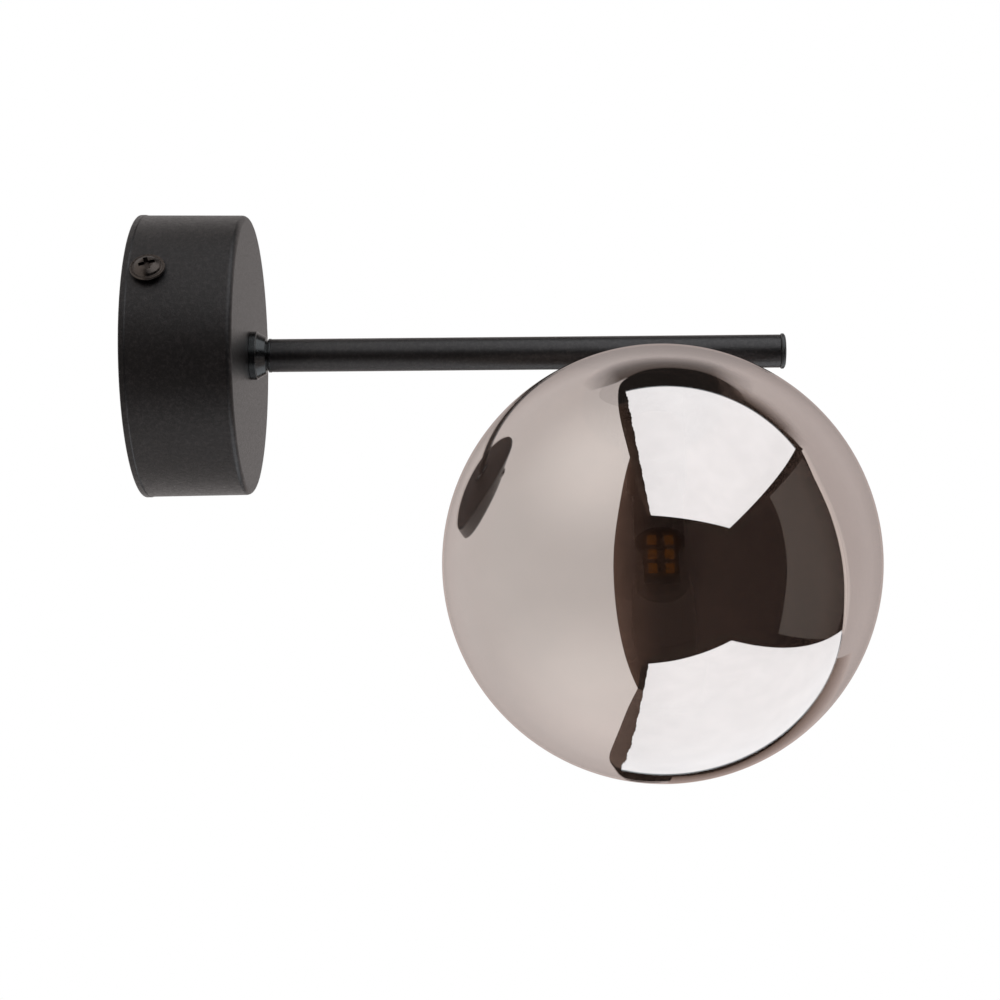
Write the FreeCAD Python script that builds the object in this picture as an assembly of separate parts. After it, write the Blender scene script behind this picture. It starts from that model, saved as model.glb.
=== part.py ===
"""Globe wall sconce: round canopy, straight arm and a hanging glass globe.

Frame: origin at the centre of the canopy's back face, on the wall.
+X points out of the wall along the arm, +Z is up, Y runs sideways. Millimetres.
"""
import math
import os

import FreeCAD
import Part

V = FreeCAD.Vector

# Driving dimensions ---------------------------------------------------------
# Clearances, named by what they part
seat_gap = 0.3           # curved faces of pieces that move past each other
thread_gap = 0.05        # radial gap between a thread's crest and its hole
glue_gap = 0.15          # radial gap that glue or a loose push fit fills

# Canopy
canopy_diameter = 100.0
canopy_depth = 37.7
canopy_wall = 1.2
canopy_edge_radius = 2.0

# Wall bracket and the two side screws that hold the canopy on it
bracket_top = 8.0         # from the canopy's axis up to the bracket's upper edge
bracket_bottom = 14.0     # from the canopy's axis down to the bracket's lower edge
bracket_thickness = 2.0
bracket_bend_radius = 1.2
bracket_side_gap = 0.7   # between the bracket's tab corners and the canopy's wall
tab_length = 16.0
screw_height = 9.0       # from the wall to the side screws' axis
screw_drop = 6.4         # from the canopy's axis down to the side screws' axis
side_screw_thread = 4.0
side_screw_length = 8.0
side_screw_head = 12.0
side_screw_head_height = 3.4
side_screw_rim_height = 1.0
side_screw_travel = 7.0
wall_slot_spacing = 60.0
wall_slot_width = 5.0
wall_slot_length = 13.0
cable_hole_diameter = 12.0
terminal_lug_width = 18.0
terminal_lug_end = 27.5
earth_lug_width = 11.0
earth_lug_end = 19.0

# Threaded tube that joins canopy, collar and arm
nipple_thread = 10.0
nipple_bore = 7.0
nipple_inside_length = 7.0
nipple_arm_engagement = 10.0
washer_diameter = 18.0
washer_thickness = 0.8
washer_teeth = 12
nut_across_flats = 14.0
nut_thickness = 3.0
bush_flange_diameter = 9.4
bush_flange_thickness = 1.0
bush_length = 5.0
bush_bore = 5.4

# Collar and spacer ring in front of the canopy
collar_diameter = 17.2
collar_cylinder_length = 2.5
collar_cone_length = 3.1
collar_nose_diameter = 13.1
collar_chamfer = 0.35
ring_diameter = 12.0
ring_length = 0.9
ring_groove_length = 0.8
ring_groove_depth = 0.7

# Arm
arm_diameter = 11.7
arm_bore = 9.0
arm_reach = 226.8        # from the wall to the end of the plug
plug_diameter = 12.5
plug_flange_length = 1.7
plug_edge_radius = 0.6
plug_spigot_length = 9.0
plug_spigot_wall = 1.4
plug_ribs = 3
plug_rib_length = 0.3
plug_rib_slope = 0.5     # run of a rib's long flank
arm_edge_chamfer = 0.3
arm_counterbore_relief = 1.0  # between the threaded tube's end and the arm's bore

# Globe
globe_diameter = 142.9
globe_wall = 2.2
globe_offset = 179.2     # from the wall to the globe's centre
globe_drop = 93.8        # from the arm's axis down to the globe's centre
globe_opening = 38.0

# Cap over the globe's opening, its bayonet skirt and the ring in the glass
cap_diameter = 48.8
cap_wall = 1.1
cap_edge_radius = 1.4
gasket_thickness = 0.7
gasket_width = 3.2
ring_flange_thickness = 0.8
ring_flange_width = 3.0
ring_wall = 1.8
ring_depth = 8.1
skirt_wall = 1.5
lug_count = 3
lug_width = 6.0
lug_height = 1.6
lug_reach = 1.5
lug_lift = 0.9           # from the ring's lower edge up to the lugs
twist_angle = 25.0

# Hanger between the arm and the cap
hanger_diameter = 10.4
hanger_flare_diameter = 16.0
hanger_flare_length = 3.5
hanger_flare_rim = 1.0   # straight edge of the flare on the cap
hanger_bore = 7.0
hanger_spigot_end = 1.2  # how far the thread stands out under its nut

# Lampholder and the strap that carries it
strap_width = 14.0
strap_thickness = 1.0
strap_span = 19.4
strap_leg_overlap = 7.5  # how far the legs reach down beside the lampholder
holder_diameter = 23.0
holder_height = 22.0
holder_chamfer = 0.8
holder_drop = 8.6        # from the hanger thread's end to the lampholder
holder_screw_thread = 3.0
holder_screw_length = 3.1
holder_screw_depth = 3.5  # below the lampholder's top
pin_pitch = 9.0
socket_width = 4.4
socket_breadth = 4.8
socket_depth = 14.5
contact_thickness = 0.4
contact_barrel_diameter = 2.6
contact_length = 12.0

# Bulb
bulb_gap = 0.4           # between the lampholder's face and the bulb's base
bulb_length = 44.4
bulb_diameter = 17.2
bulb_cover_wall = 1.0
bulb_cover_end = 2.4
bulb_cover_edge_radius = 2.0
bulb_base_diameter = 16.6
bulb_base_length = 25.5
bulb_base_neck_length = 7.0
bulb_base_neck_breadth = 10.5
bulb_base_neck_width = 15.0
bulb_base_wall = 1.4
bulb_base_lap = 4.0      # how far the cover's sleeve sits inside the base
bulb_ribs = 28
bulb_rib_length = 6.0
bulb_rib_depth = 0.35
pin_wire = 0.8
pin_loop_width = 2.4
pin_length = 11.0
pin_root = 2.5           # how deep the pins sit in the base
board_width = 11.6
board_thickness = 1.2
board_root = 5.0
chip_width = 2.8
chip_height = 3.5
chip_thickness = 0.7
chip_rows = 3
chip_row_pitch = 5.8
chip_column_pitch = 5.6
chip_first_row = 8.0     # from the bulb's lower end up to the lowest row
driver_width = 11.0
driver_thickness = 1.0
driver_gap = 0.3         # between the driver board and its neighbours
capacitor_diameter = 5.0
capacitor_length = 7.0
rectifier_size = 3.6

# Terminal block
pole_pitch = 8.0
pole_count = 3
block_breadth = 17.0
block_height = 13.0
block_offset = 18.0      # from the canopy's axis down to the block's middle
sleeve_diameter = 4.2
sleeve_bore = 2.8
sleeve_length = 15.0
sleeve_height = 5.5      # of the sleeves' axis above the bracket
terminal_thread = 2.5
terminal_well = 4.2
terminal_screw_pitch = 9.0
terminal_screw_height = 3.6   # of the clamp screws above their sleeves
terminal_head_height = 1.6
block_chamfer = 0.6
block_groove_width = 0.8
block_groove_depth = 1.2
block_screw_thread = 3.0
block_screw_head = 5.2
block_screw_head_height = 2.0
block_screw_sink = 3.5   # of the head's seat below the block's face

# Earth screw and its tag
earth_thread = 4.0
earth_offset = 13.5
earth_screw_length = 5.0
earth_head_height = 2.6
tag_diameter = 8.4
tag_thickness = 0.8
tag_barrel_diameter = 2.8
tag_tongue = 0.6         # between the ring and its barrel
tag_barrel_length = 5.0

# Wires
wire_diameter = 1.8
wire_offset = 1.25       # of each lead from the middle of the arm's bore
wire_bend = 6.0
holder_wire_bend = 5.0
wire_straight = 2.5      # straight run of a lead at a thread's end or a hole
earth_wire_bend = 3.0
earth_wire_rise = 7.5    # first straight run of the earth lead
earth_wire_reach = 4.0   # last straight run of the earth lead, below the tag

# Levels and places worked out from the driving dimensions ---------------------
X, Y, Z = V(1, 0, 0), V(0, 1, 0), V(0, 0, 1)
canopy_radius = canopy_diameter / 2
canopy_inner_radius = canopy_radius - canopy_wall
canopy_inner_face = canopy_depth - canopy_wall
nut_start = canopy_inner_face - washer_thickness - nut_thickness
nipple_start = nut_start - nipple_inside_length + nut_thickness
nipple_radius = nipple_thread / 2 - thread_gap
clearance_radius = nipple_thread / 2 + glue_gap
collar_start = canopy_depth
collar_end = collar_start + collar_cylinder_length + collar_cone_length
arm_start = collar_end + ring_groove_length + ring_length
arm_end = arm_reach - plug_flange_length
arm_radius = arm_diameter / 2
arm_bore_radius = arm_bore / 2

globe_radius = globe_diameter / 2
globe_inner_radius = globe_radius - globe_wall
globe_centre = V(globe_offset, 0, -globe_drop)


def sphere_height(radius, distance):
    """Height above the globe's centre of a sphere's surface, at a distance from its axis."""
    return math.sqrt(radius ** 2 - distance ** 2)


opening_radius = globe_opening / 2
opening_top = -globe_drop + sphere_height(globe_radius, opening_radius)
ring_outer_radius = opening_radius - glue_gap
ring_inner_radius = ring_outer_radius - ring_wall
ring_flange_bottom = opening_top + gasket_thickness
ring_top = ring_flange_bottom + ring_flange_thickness
ring_bottom = ring_top - ring_depth
cap_ceiling = ring_top + seat_gap
cap_top = cap_ceiling + cap_wall
skirt_outer_radius = ring_inner_radius - seat_gap
skirt_inner_radius = skirt_outer_radius - skirt_wall
skirt_bottom = ring_bottom + seat_gap
lug_bottom = ring_bottom + lug_lift
strap_bottom = cap_ceiling - strap_thickness
cap_washer_bottom = strap_bottom - washer_thickness
cap_nut_bottom = cap_washer_bottom - nut_thickness
hanger_bottom = cap_nut_bottom - hanger_spigot_end
holder_top = hanger_bottom - holder_drop
holder_bottom = holder_top - holder_height
socket_top = holder_bottom + socket_depth
bulb_top = holder_bottom - bulb_gap
bulb_bottom = bulb_top - bulb_length
base_bottom = bulb_top - bulb_base_length
block_length = pole_pitch * pole_count
block_middle = V(bracket_thickness, 0, -block_offset)
sleeve_x = bracket_thickness + sleeve_height
tab_outer = math.sqrt((canopy_inner_radius - bracket_side_gap) ** 2
                      - max(bracket_top, bracket_bottom) ** 2)
screw_middle = V(screw_height, 0, -screw_drop)


# Helpers ----------------------------------------------------------------------
def rod(radius, start, end, axis=Z, centre=V(0, 0, 0)):
    """Cylinder along an axis, from one coordinate on it to another."""
    low, high = min(start, end), max(start, end)
    return Part.makeCylinder(radius, high - low, centre + axis * low, axis)


def tube(outer, inner, start, end, axis=Z, centre=V(0, 0, 0)):
    """Hollow cylinder along an axis."""
    return rod(outer, start, end, axis, centre).cut(rod(inner, start - 1, end + 1, axis, centre))


def block(low, high):
    """Box between two opposite corners."""
    size = high - low
    return Part.makeBox(size.x, size.y, size.z, low)


def turned(points, axis, centre=V(0, 0, 0)):
    """Solid turned about an axis from (distance along it, radius) points."""
    side = Z if axis == X else X
    corners = [centre + axis * along + side * radius for along, radius in points]
    outline = Part.makePolygon(corners + [corners[0]])
    return Part.Face(outline).revolve(centre, axis, 360)


def hexagon(across_flats, start, end, axis, centre=V(0, 0, 0)):
    """Hexagonal prism with its corners turned down like a real nut's."""
    corner = across_flats / math.sqrt(3)
    side = Y if axis == X else X
    other = axis.cross(side)
    corners = []
    for step in range(6):
        angle = math.radians(60 * step)
        corners.append(centre + axis * start + side * (corner * math.cos(angle))
                       + other * (corner * math.sin(angle)))
    prism = Part.Face(Part.makePolygon(corners + [corners[0]])).extrude(axis * (end - start))
    bevel = (corner - across_flats / 2) * 0.8
    low, high = min(start, end), max(start, end)
    drum = turned([(low, 0), (low, corner - bevel), (low + bevel / 2, corner),
                   (high - bevel / 2, corner), (high, corner - bevel), (high, 0)], axis, centre)
    return prism.common(drum)


def circle_edges(shape, radius, level, axis=Z):
    """Round edges of one radius that lie at one level along an axis."""
    found = []
    for edge in shape.Edges:
        curve = edge.Curve
        if isinstance(curve, Part.Circle) and abs(curve.Radius - radius) < 1e-4:
            if abs(curve.Center.dot(axis) - level) < 1e-4:
                found.append(edge)
    return found


def at_globe(shape):
    """Moves a shape modelled about the Z axis to the globe's axis."""
    return shape.translated(V(globe_offset, 0, 0))


def cross_recess(width, depth, head_face, axis, centre):
    """Tapered cross that a screwdriver fits, cut into a head from its outer face."""
    arm_width = width * 0.27
    side = Z if abs(axis.dot(Z)) < 0.5 else X
    other = axis.cross(side)
    recess = None
    for along, across in ((side, other), (other, side)):
        profiles = []
        for level, length, breadth in ((depth * 0.2, width, arm_width),
                                       (-depth, width * 0.35, arm_width * 0.8)):
            middle = centre + axis * (head_face + level)
            corners = [middle + along * (a * length / 2) + across * (b * breadth / 2)
                       for a, b in ((-1, -1), (1, -1), (1, 1), (-1, 1))]
            profiles.append(Part.makePolygon(corners + [corners[0]]))
        arm = Part.makeLoft(profiles, True, True)
        recess = arm if recess is None else recess.fuse(arm)
    return recess


def slot_cut(width, depth, length, head_face, axis, centre):
    """Plain screwdriver slot across a head."""
    side = Z if abs(axis.dot(Z)) < 0.5 else X
    other = axis.cross(side)
    corner = centre + axis * (head_face - depth) - side * (length / 2) - other * (width / 2)
    corners = [corner, corner + side * length, corner + side * length + other * width,
               corner + other * width]
    return Part.Face(Part.makePolygon(corners + [corners[0]])).extrude(axis * (depth * 2))


def rounded_path(points, bend):
    """Straight runs through points, joined by tangent arcs of one radius."""
    edges = []
    last = points[0]
    for before, corner, after in zip(points, points[1:], points[2:]):
        back = (before - corner).normalize()
        ahead = (after - corner).normalize()
        half = back.getAngle(ahead) / 2
        reach = bend / math.tan(half)
        start, end = corner + back * reach, corner + ahead * reach
        inward = (back + ahead).normalize()
        middle = corner + inward * (bend / math.sin(half) - bend)
        edges.append(Part.LineSegment(last, start).toShape())
        edges.append(Part.Arc(start, middle, end).toShape())
        last = end
    edges.append(Part.LineSegment(last, points[-1]).toShape())
    return Part.Wire(edges)


def wire_solid(points, bend, diameter=wire_diameter):
    """Round wire along straight runs and tangent arcs."""
    path = rounded_path(points, bend)
    ahead = (points[1] - points[0]).normalize()
    section = Part.Wire(Part.makeCircle(diameter / 2, points[0], ahead))
    solid = path.makePipeShell([section], True, False)
    print("wire length %.1f, volume share %.4f" % (
        path.Length, solid.Volume / (path.Length * math.pi * diameter ** 2 / 4)))
    return solid


# Canopy and wall bracket --------------------------------------------------------
def canopy():
    outside = rod(canopy_radius, 0, canopy_depth, X)
    outside = outside.makeFillet(canopy_edge_radius,
                                 circle_edges(outside, canopy_radius, canopy_depth, X))
    inside = rod(canopy_inner_radius, -1, canopy_inner_face, X)
    inside = inside.makeFillet(canopy_edge_radius - canopy_wall,
                               circle_edges(inside, canopy_inner_radius, canopy_inner_face, X))
    shell = outside.cut(inside).cut(rod(clearance_radius, 0, canopy_depth + 1, X))
    hole = rod(side_screw_thread / 2 + seat_gap, -canopy_radius - 1, canopy_radius + 1, Y,
               screw_middle)
    return shell.cut(hole)


def mounting_bracket():
    low, high = -bracket_bottom, bracket_top
    thick = bracket_thickness
    outer_bend = bracket_bend_radius + thick
    shape = block(V(0, -tab_outer, low), V(thick, tab_outer, high))
    for side in (-1, 1):
        outer, inner = side * tab_outer, side * (tab_outer - thick)
        bend = side * (tab_outer - outer_bend)
        beyond = side * (tab_outer + 1)
        shape = shape.fuse(block(V(0, min(outer, inner), low), V(tab_length, max(outer, inner), high)))
        fill = block(V(thick, min(bend, inner), low), V(outer_bend, max(bend, inner), high))
        shape = shape.fuse(fill.cut(rod(bracket_bend_radius, low - 1, high + 1, Z,
                                        V(outer_bend, bend, 0))))
        corner = block(V(-1, min(bend, beyond), low - 1), V(outer_bend, max(bend, beyond), high + 1))
        keep = rod(outer_bend, low - 2, high + 2, Z, V(outer_bend, bend, 0))
        shape = shape.cut(corner.cut(keep))
    lug = block(V(0, -terminal_lug_width / 2, -terminal_lug_end), V(thick, terminal_lug_width / 2, 0))
    earth = block(V(0, -earth_lug_width / 2, 0), V(thick, earth_lug_width / 2, earth_lug_end))
    shape = shape.fuse(lug).fuse(earth).removeSplitter()
    shape = shape.cut(rod(cable_hole_diameter / 2, -1, thick + 1, X))
    run = wall_slot_length - wall_slot_width
    for side in (-1, 1):
        middle = side * wall_slot_spacing / 2
        radius = wall_slot_width / 2
        slot = block(V(-1, middle - run / 2, -radius), V(thick + 1, middle + run / 2, radius))
        for end in (-1, 1):
            slot = slot.fuse(rod(radius, -1, thick + 1, X, V(0, middle + end * run / 2, 0)))
        shape = shape.cut(slot)
    shape = shape.cut(rod(side_screw_thread / 2 + thread_gap, -canopy_radius, canopy_radius, Y,
                          screw_middle))
    shape = shape.cut(rod(earth_thread / 2 + thread_gap, -1, thick + 1, X, V(0, 0, earth_offset)))
    shape = shape.cut(rod(block_screw_thread / 2 + thread_gap, -1, thick + 1, X,
                          block_middle + V(-thick, pole_pitch / 2, 0)))
    return shape


def side_screw(side):
    """Flanged dome-head screw through the canopy's side into the bracket's tab."""
    centre = screw_middle
    outward = Y * side
    seat = canopy_radius + seat_gap
    rim = seat + side_screw_rim_height
    top = seat + side_screw_head_height
    head_radius = side_screw_head / 2
    dome_radius = head_radius * 0.8
    dome_height = top - rim
    sphere_radius = (dome_radius ** 2 + dome_height ** 2) / (2 * dome_height)
    flange = rod(head_radius, seat, rim, outward, centre)
    flange = flange.makeFillet(side_screw_rim_height * 0.35, [
        edge for edge in flange.Edges
        if isinstance(edge.Curve, Part.Circle) and abs(edge.Curve.Center.dot(outward) - rim) < 1e-4])
    dome = rod(dome_radius, rim, top, outward, centre).common(
        Part.makeSphere(sphere_radius, centre + outward * (top - sphere_radius)))
    head = flange.fuse(dome)
    head = head.cut(cross_recess(side_screw_head * 0.42, side_screw_head_height * 0.6, top,
                                 outward, centre))
    thread = rod(side_screw_thread / 2, seat - side_screw_length, seat, outward, centre)
    thread = thread.makeChamfer(side_screw_thread * 0.12, [
        edge for edge in thread.Edges if isinstance(edge.Curve, Part.Circle)
        and abs(edge.Curve.Center.dot(outward) - seat + side_screw_length) < 1e-4])
    return head.fuse(thread).removeSplitter()


# Threaded tube, nut and washer behind the canopy's front --------------------------
def nipple():
    chamfer = nipple_thread * 0.06
    end = arm_start + nipple_arm_engagement
    bar = turned([(nipple_start, nipple_bore / 2), (nipple_start, nipple_radius - chamfer),
                  (nipple_start + chamfer, nipple_radius), (end - chamfer, nipple_radius),
                  (end, nipple_radius - chamfer), (end, nipple_bore / 2)], X)
    return bar


def nut(start, end, axis, centre=V(0, 0, 0)):
    return hexagon(nut_across_flats, start, end, axis, centre).cut(
        rod(nipple_thread / 2, min(start, end) - 1, max(start, end) + 1, axis, centre))


def toothed_washer(start, axis, centre=V(0, 0, 0)):
    """Shakeproof washer with notched outer teeth, lying from start along the axis."""
    end = start + washer_thickness
    washer = tube(washer_diameter / 2, clearance_radius, start, end, axis, centre)
    side = Y if axis == X else X
    other = axis.cross(side)
    notch_radius = washer_diameter * 0.055
    for step in range(washer_teeth):
        angle = 2 * math.pi * step / washer_teeth
        spot = centre + (side * math.cos(angle) + other * math.sin(angle)) * (washer_diameter / 2)
        washer = washer.cut(rod(notch_radius, start - 1, end + 1, axis, spot))
    return washer


def nipple_bush():
    """Plastic bush that keeps the leads off the threaded tube's edge."""
    spigot_radius = nipple_bore / 2 - thread_gap
    return turned([(nipple_start - bush_flange_thickness, bush_bore / 2),
                   (nipple_start - bush_flange_thickness, bush_flange_diameter / 2),
                   (nipple_start, bush_flange_diameter / 2), (nipple_start, spigot_radius),
                   (nipple_start + bush_length, spigot_radius),
                   (nipple_start + bush_length, bush_bore / 2)], X)


# Collar, spacer ring, arm and plug -----------------------------------------------
def collar():
    cone_start = collar_start + collar_cylinder_length
    radius = collar_diameter / 2
    return turned([(collar_start, clearance_radius), (collar_start, radius),
                   (cone_start - collar_chamfer, radius), (cone_start, radius - collar_chamfer),
                   (collar_end, collar_nose_diameter / 2), (collar_end, clearance_radius)], X)


def spacer_ring():
    groove_end = collar_end + ring_groove_length
    groove_radius = ring_diameter / 2 - ring_groove_depth
    edge = ring_length * 0.15
    return turned([(collar_end, clearance_radius), (collar_end, groove_radius),
                   (groove_end, groove_radius), (groove_end, ring_diameter / 2 - edge),
                   (groove_end + edge, ring_diameter / 2), (arm_start - edge, ring_diameter / 2),
                   (arm_start, ring_diameter / 2 - edge), (arm_start, clearance_radius)], X)


def arm_tube():
    chamfer = arm_edge_chamfer
    counterbore = arm_start + nipple_arm_engagement + arm_counterbore_relief
    thread_radius = nipple_thread / 2
    profile = [(arm_start, thread_radius), (arm_start, arm_radius), (arm_end - chamfer, arm_radius),
               (arm_end, arm_radius - chamfer), (arm_end, arm_bore_radius),
               (counterbore, arm_bore_radius), (counterbore, thread_radius)]
    pipe = turned(profile, X)
    return pipe.cut(at_globe(rod(hanger_bore / 2, -arm_diameter, 0)))


def end_plug():
    """Push-in plug whose thin flange closes the arm's end."""
    flange = rod(plug_diameter / 2, arm_end, arm_reach, X)
    flange = flange.makeFillet(plug_edge_radius,
                               circle_edges(flange, plug_diameter / 2, arm_reach, X))
    spigot_radius = arm_bore_radius - seat_gap
    plug = flange.fuse(rod(spigot_radius, arm_end - plug_spigot_length, arm_end, X))
    rib_pitch = plug_spigot_length / (plug_ribs + 1)
    for step in range(plug_ribs):
        start = arm_end - rib_pitch * (step + 1)
        crest_end = start + plug_rib_length
        crest, root = arm_bore_radius - thread_gap, spigot_radius - thread_gap
        plug = plug.fuse(turned([(start - plug_rib_slope, root), (start, crest), (crest_end, crest),
                                 (crest_end + plug_rib_length, root)], X))
    return plug.cut(rod(spigot_radius - plug_spigot_wall, arm_end - plug_spigot_length - 1, arm_end, X))


# Hanger, cap and its fixings -------------------------------------------------------
def hanger():
    """Turned stem, brazed under the arm, with a thread that passes through the cap."""
    radius = hanger_diameter / 2
    flare = hanger_flare_diameter / 2
    flare_top = cap_top + hanger_flare_length
    chamfer = nipple_thread * 0.06
    profile = [(hanger_bottom, hanger_bore / 2), (hanger_bottom, nipple_radius - chamfer),
               (hanger_bottom + chamfer, nipple_radius), (cap_top, nipple_radius), (cap_top, flare),
               (cap_top + hanger_flare_rim, flare), (flare_top, radius), (0, radius),
               (0, hanger_bore / 2)]
    stem = at_globe(turned(profile, Z))
    return stem.cut(rod(arm_radius + thread_gap, globe_offset - hanger_flare_diameter,
                        globe_offset + hanger_flare_diameter, X))


def globe_cap():
    """Shallow cap on the glass, with a slotted skirt that the globe's ring twists into."""
    radius = cap_diameter / 2
    drum = rod(radius, -globe_drop, cap_top)
    drum = drum.makeFillet(cap_edge_radius, circle_edges(drum, radius, cap_top))
    hollow = rod(radius - cap_wall, -globe_drop - 1, cap_ceiling)
    shell = drum.cut(hollow).cut(Part.makeSphere(globe_radius + seat_gap, V(0, 0, -globe_drop)))
    shell = shell.cut(rod(radius + 1, -globe_drop - globe_radius, -globe_drop))
    skirt = tube(skirt_outer_radius, skirt_inner_radius, skirt_bottom, cap_ceiling + cap_wall / 2)
    cap = shell.fuse(skirt).cut(rod(clearance_radius, -globe_drop, cap_top + 1))
    half_angle = math.degrees((lug_width / 2 + seat_gap) / skirt_inner_radius)
    slot_low, slot_high = lug_bottom - seat_gap, lug_bottom + lug_height + seat_gap
    reach = skirt_outer_radius + seat_gap / 2
    for step in range(lug_count):
        turn = 360.0 * step / lug_count
        level = ring_sector(skirt_inner_radius - 1, reach, slot_low, slot_high,
                            turn - half_angle, turn + twist_angle + half_angle)
        entry = ring_sector(skirt_inner_radius - 1, reach, skirt_bottom - 1, slot_high,
                            turn + twist_angle - half_angle, turn + twist_angle + half_angle)
        cap = cap.cut(level).cut(entry)
    return at_globe(cap)


def ring_sector(inner, outer, low, high, start_angle, end_angle):
    """Part of a ring about the Z axis, between two angles in degrees."""
    sweep = end_angle - start_angle
    wedge = Part.makeCylinder(outer, high - low, V(0, 0, low), Z, sweep)
    wedge = wedge.cut(rod(inner, low - 1, high + 1))
    wedge.rotate(V(0, 0, 0), Z, start_angle)
    return wedge


def globe_ring():
    """Metal ring glued in the glass, with inward bayonet lugs."""
    flange_radius = opening_radius + ring_flange_width
    ring = turned([(ring_bottom, ring_inner_radius), (ring_bottom, ring_outer_radius),
                   (ring_flange_bottom, ring_outer_radius), (ring_flange_bottom, flange_radius),
                   (ring_top, flange_radius), (ring_top, ring_inner_radius)], Z)
    lug_tip = ring_inner_radius - lug_reach
    for step in range(lug_count):
        half_angle = math.degrees(lug_width / 2 / skirt_inner_radius)
        turn = 360.0 * step / lug_count
        ring = ring.fuse(ring_sector(lug_tip, ring_inner_radius + ring_wall / 2, lug_bottom,
                                     lug_bottom + lug_height, turn - half_angle, turn + half_angle))
    return at_globe(ring.removeSplitter())


def globe_gasket():
    """Silicone washer between the ring's flange and the glass."""
    inner = opening_radius + glue_gap
    washer = tube(inner + gasket_width, inner, ring_flange_bottom - 4 * gasket_thickness,
                  ring_flange_bottom)
    glass = Part.makeSphere(globe_radius + thread_gap, V(0, 0, -globe_drop))
    return at_globe(washer.cut(glass))


def glass_globe():
    shell = Part.makeSphere(globe_radius, globe_centre).cut(
        Part.makeSphere(globe_inner_radius, globe_centre))
    return shell.cut(at_globe(rod(opening_radius, -globe_drop, 0)))


def holder_strap():
    """Bent steel strap, clamped under the cap, whose legs hold the lampholder."""
    half_span = strap_span / 2
    half = strap_width / 2
    leg_bottom = holder_top - strap_leg_overlap
    plate = block(V(-half_span - strap_thickness, -half, strap_bottom),
                  V(half_span + strap_thickness, half, cap_ceiling))
    shape = plate
    for side in (-1, 1):
        low, high = sorted((side * half_span, side * (half_span + strap_thickness)))
        shape = shape.fuse(block(V(low, -half, leg_bottom), V(high, half, cap_ceiling)))
    shape = shape.removeSplitter().cut(rod(clearance_radius, strap_bottom - 1, cap_ceiling + 1))
    bend = [edge for edge in shape.Edges if abs(edge.Length - strap_width) < 1e-6
            and abs(edge.CenterOfMass.z - cap_ceiling) < 1e-6 and abs(edge.CenterOfMass.x) > half_span]
    shape = shape.makeFillet(strap_thickness, bend)
    shape = shape.cut(rod(holder_screw_thread / 2 + glue_gap, -strap_span, strap_span, X,
                          V(0, 0, holder_top - holder_screw_depth)))
    return at_globe(shape)


# Lampholder -------------------------------------------------------------------------
def lampholder():
    """Ceramic body with two sockets and two wire holes, flat where the strap grips it."""
    body = rod(holder_diameter / 2, holder_bottom, holder_top)
    flat = strap_span / 2
    body = body.common(block(V(-flat, -holder_diameter, holder_bottom - 1),
                             V(flat, holder_diameter, holder_top + 1)))
    rim = [edge for edge in body.Edges if abs(edge.CenterOfMass.z - holder_bottom) < 1e-6]
    body = body.makeChamfer(holder_chamfer, rim)
    for side in (-1, 1):
        middle = side * pin_pitch / 2
        body = body.cut(block(
            V(middle - socket_width / 2, -socket_breadth / 2, holder_bottom - 1),
            V(middle + socket_width / 2, socket_breadth / 2, socket_top)))
        body = body.cut(rod(contact_barrel_diameter / 2 + glue_gap, socket_top - 1, holder_top + 1, Z,
                            V(middle, 0, 0)))
        low, high = sorted((side * (flat - holder_screw_length), side * (flat + 1)))
        body = body.cut(rod(holder_screw_thread / 2 + thread_gap, low, high, X,
                            V(0, 0, holder_top - holder_screw_depth)))
    return at_globe(body)


def holder_contacts():
    """Two spring clips in the sockets, each with a barrel crimped on its lead."""
    half_gap = pin_wire / 2 + seat_gap
    half_width = socket_width / 2 - seat_gap
    clips = []
    for side in (-1, 1):
        middle = V(side * pin_pitch / 2, 0, 0)
        bridge_low = socket_top - contact_thickness
        clip = block(middle + V(-half_width, -half_gap - contact_thickness, bridge_low),
                     middle + V(half_width, half_gap + contact_thickness, socket_top))
        for face in (-1, 1):
            low, high = sorted((face * half_gap, face * (half_gap + contact_thickness)))
            clip = clip.fuse(block(middle + V(-half_width, low, socket_top - contact_length),
                                   middle + V(half_width, high, socket_top)))
        barrel = rod(contact_barrel_diameter / 2, bridge_low, holder_top - 1, Z, middle)
        bore = rod(wire_diameter / 2 + thread_gap, socket_top, holder_top, Z, middle)
        clips.append(at_globe(clip.fuse(barrel).cut(bore).removeSplitter()))
    return Part.makeCompound(clips)


def holder_screws():
    """Two short screws through the strap's legs into the lampholder."""
    level = V(0, 0, holder_top - holder_screw_depth)
    face = strap_span / 2 + strap_thickness
    radius = holder_screw_thread / 2
    screws = []
    for side in (-1, 1):
        outward = X * side
        head = rod(radius * 1.8, face, face + radius, outward, level)
        head = head.cut(slot_cut(radius * 0.4, radius * 0.5, radius * 5, face + radius, outward, level))
        shank = rod(radius, face - strap_thickness - holder_screw_length + glue_gap, face, outward,
                    level)
        screws.append(at_globe(head.fuse(shank)))
    return Part.makeCompound(screws)


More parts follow.
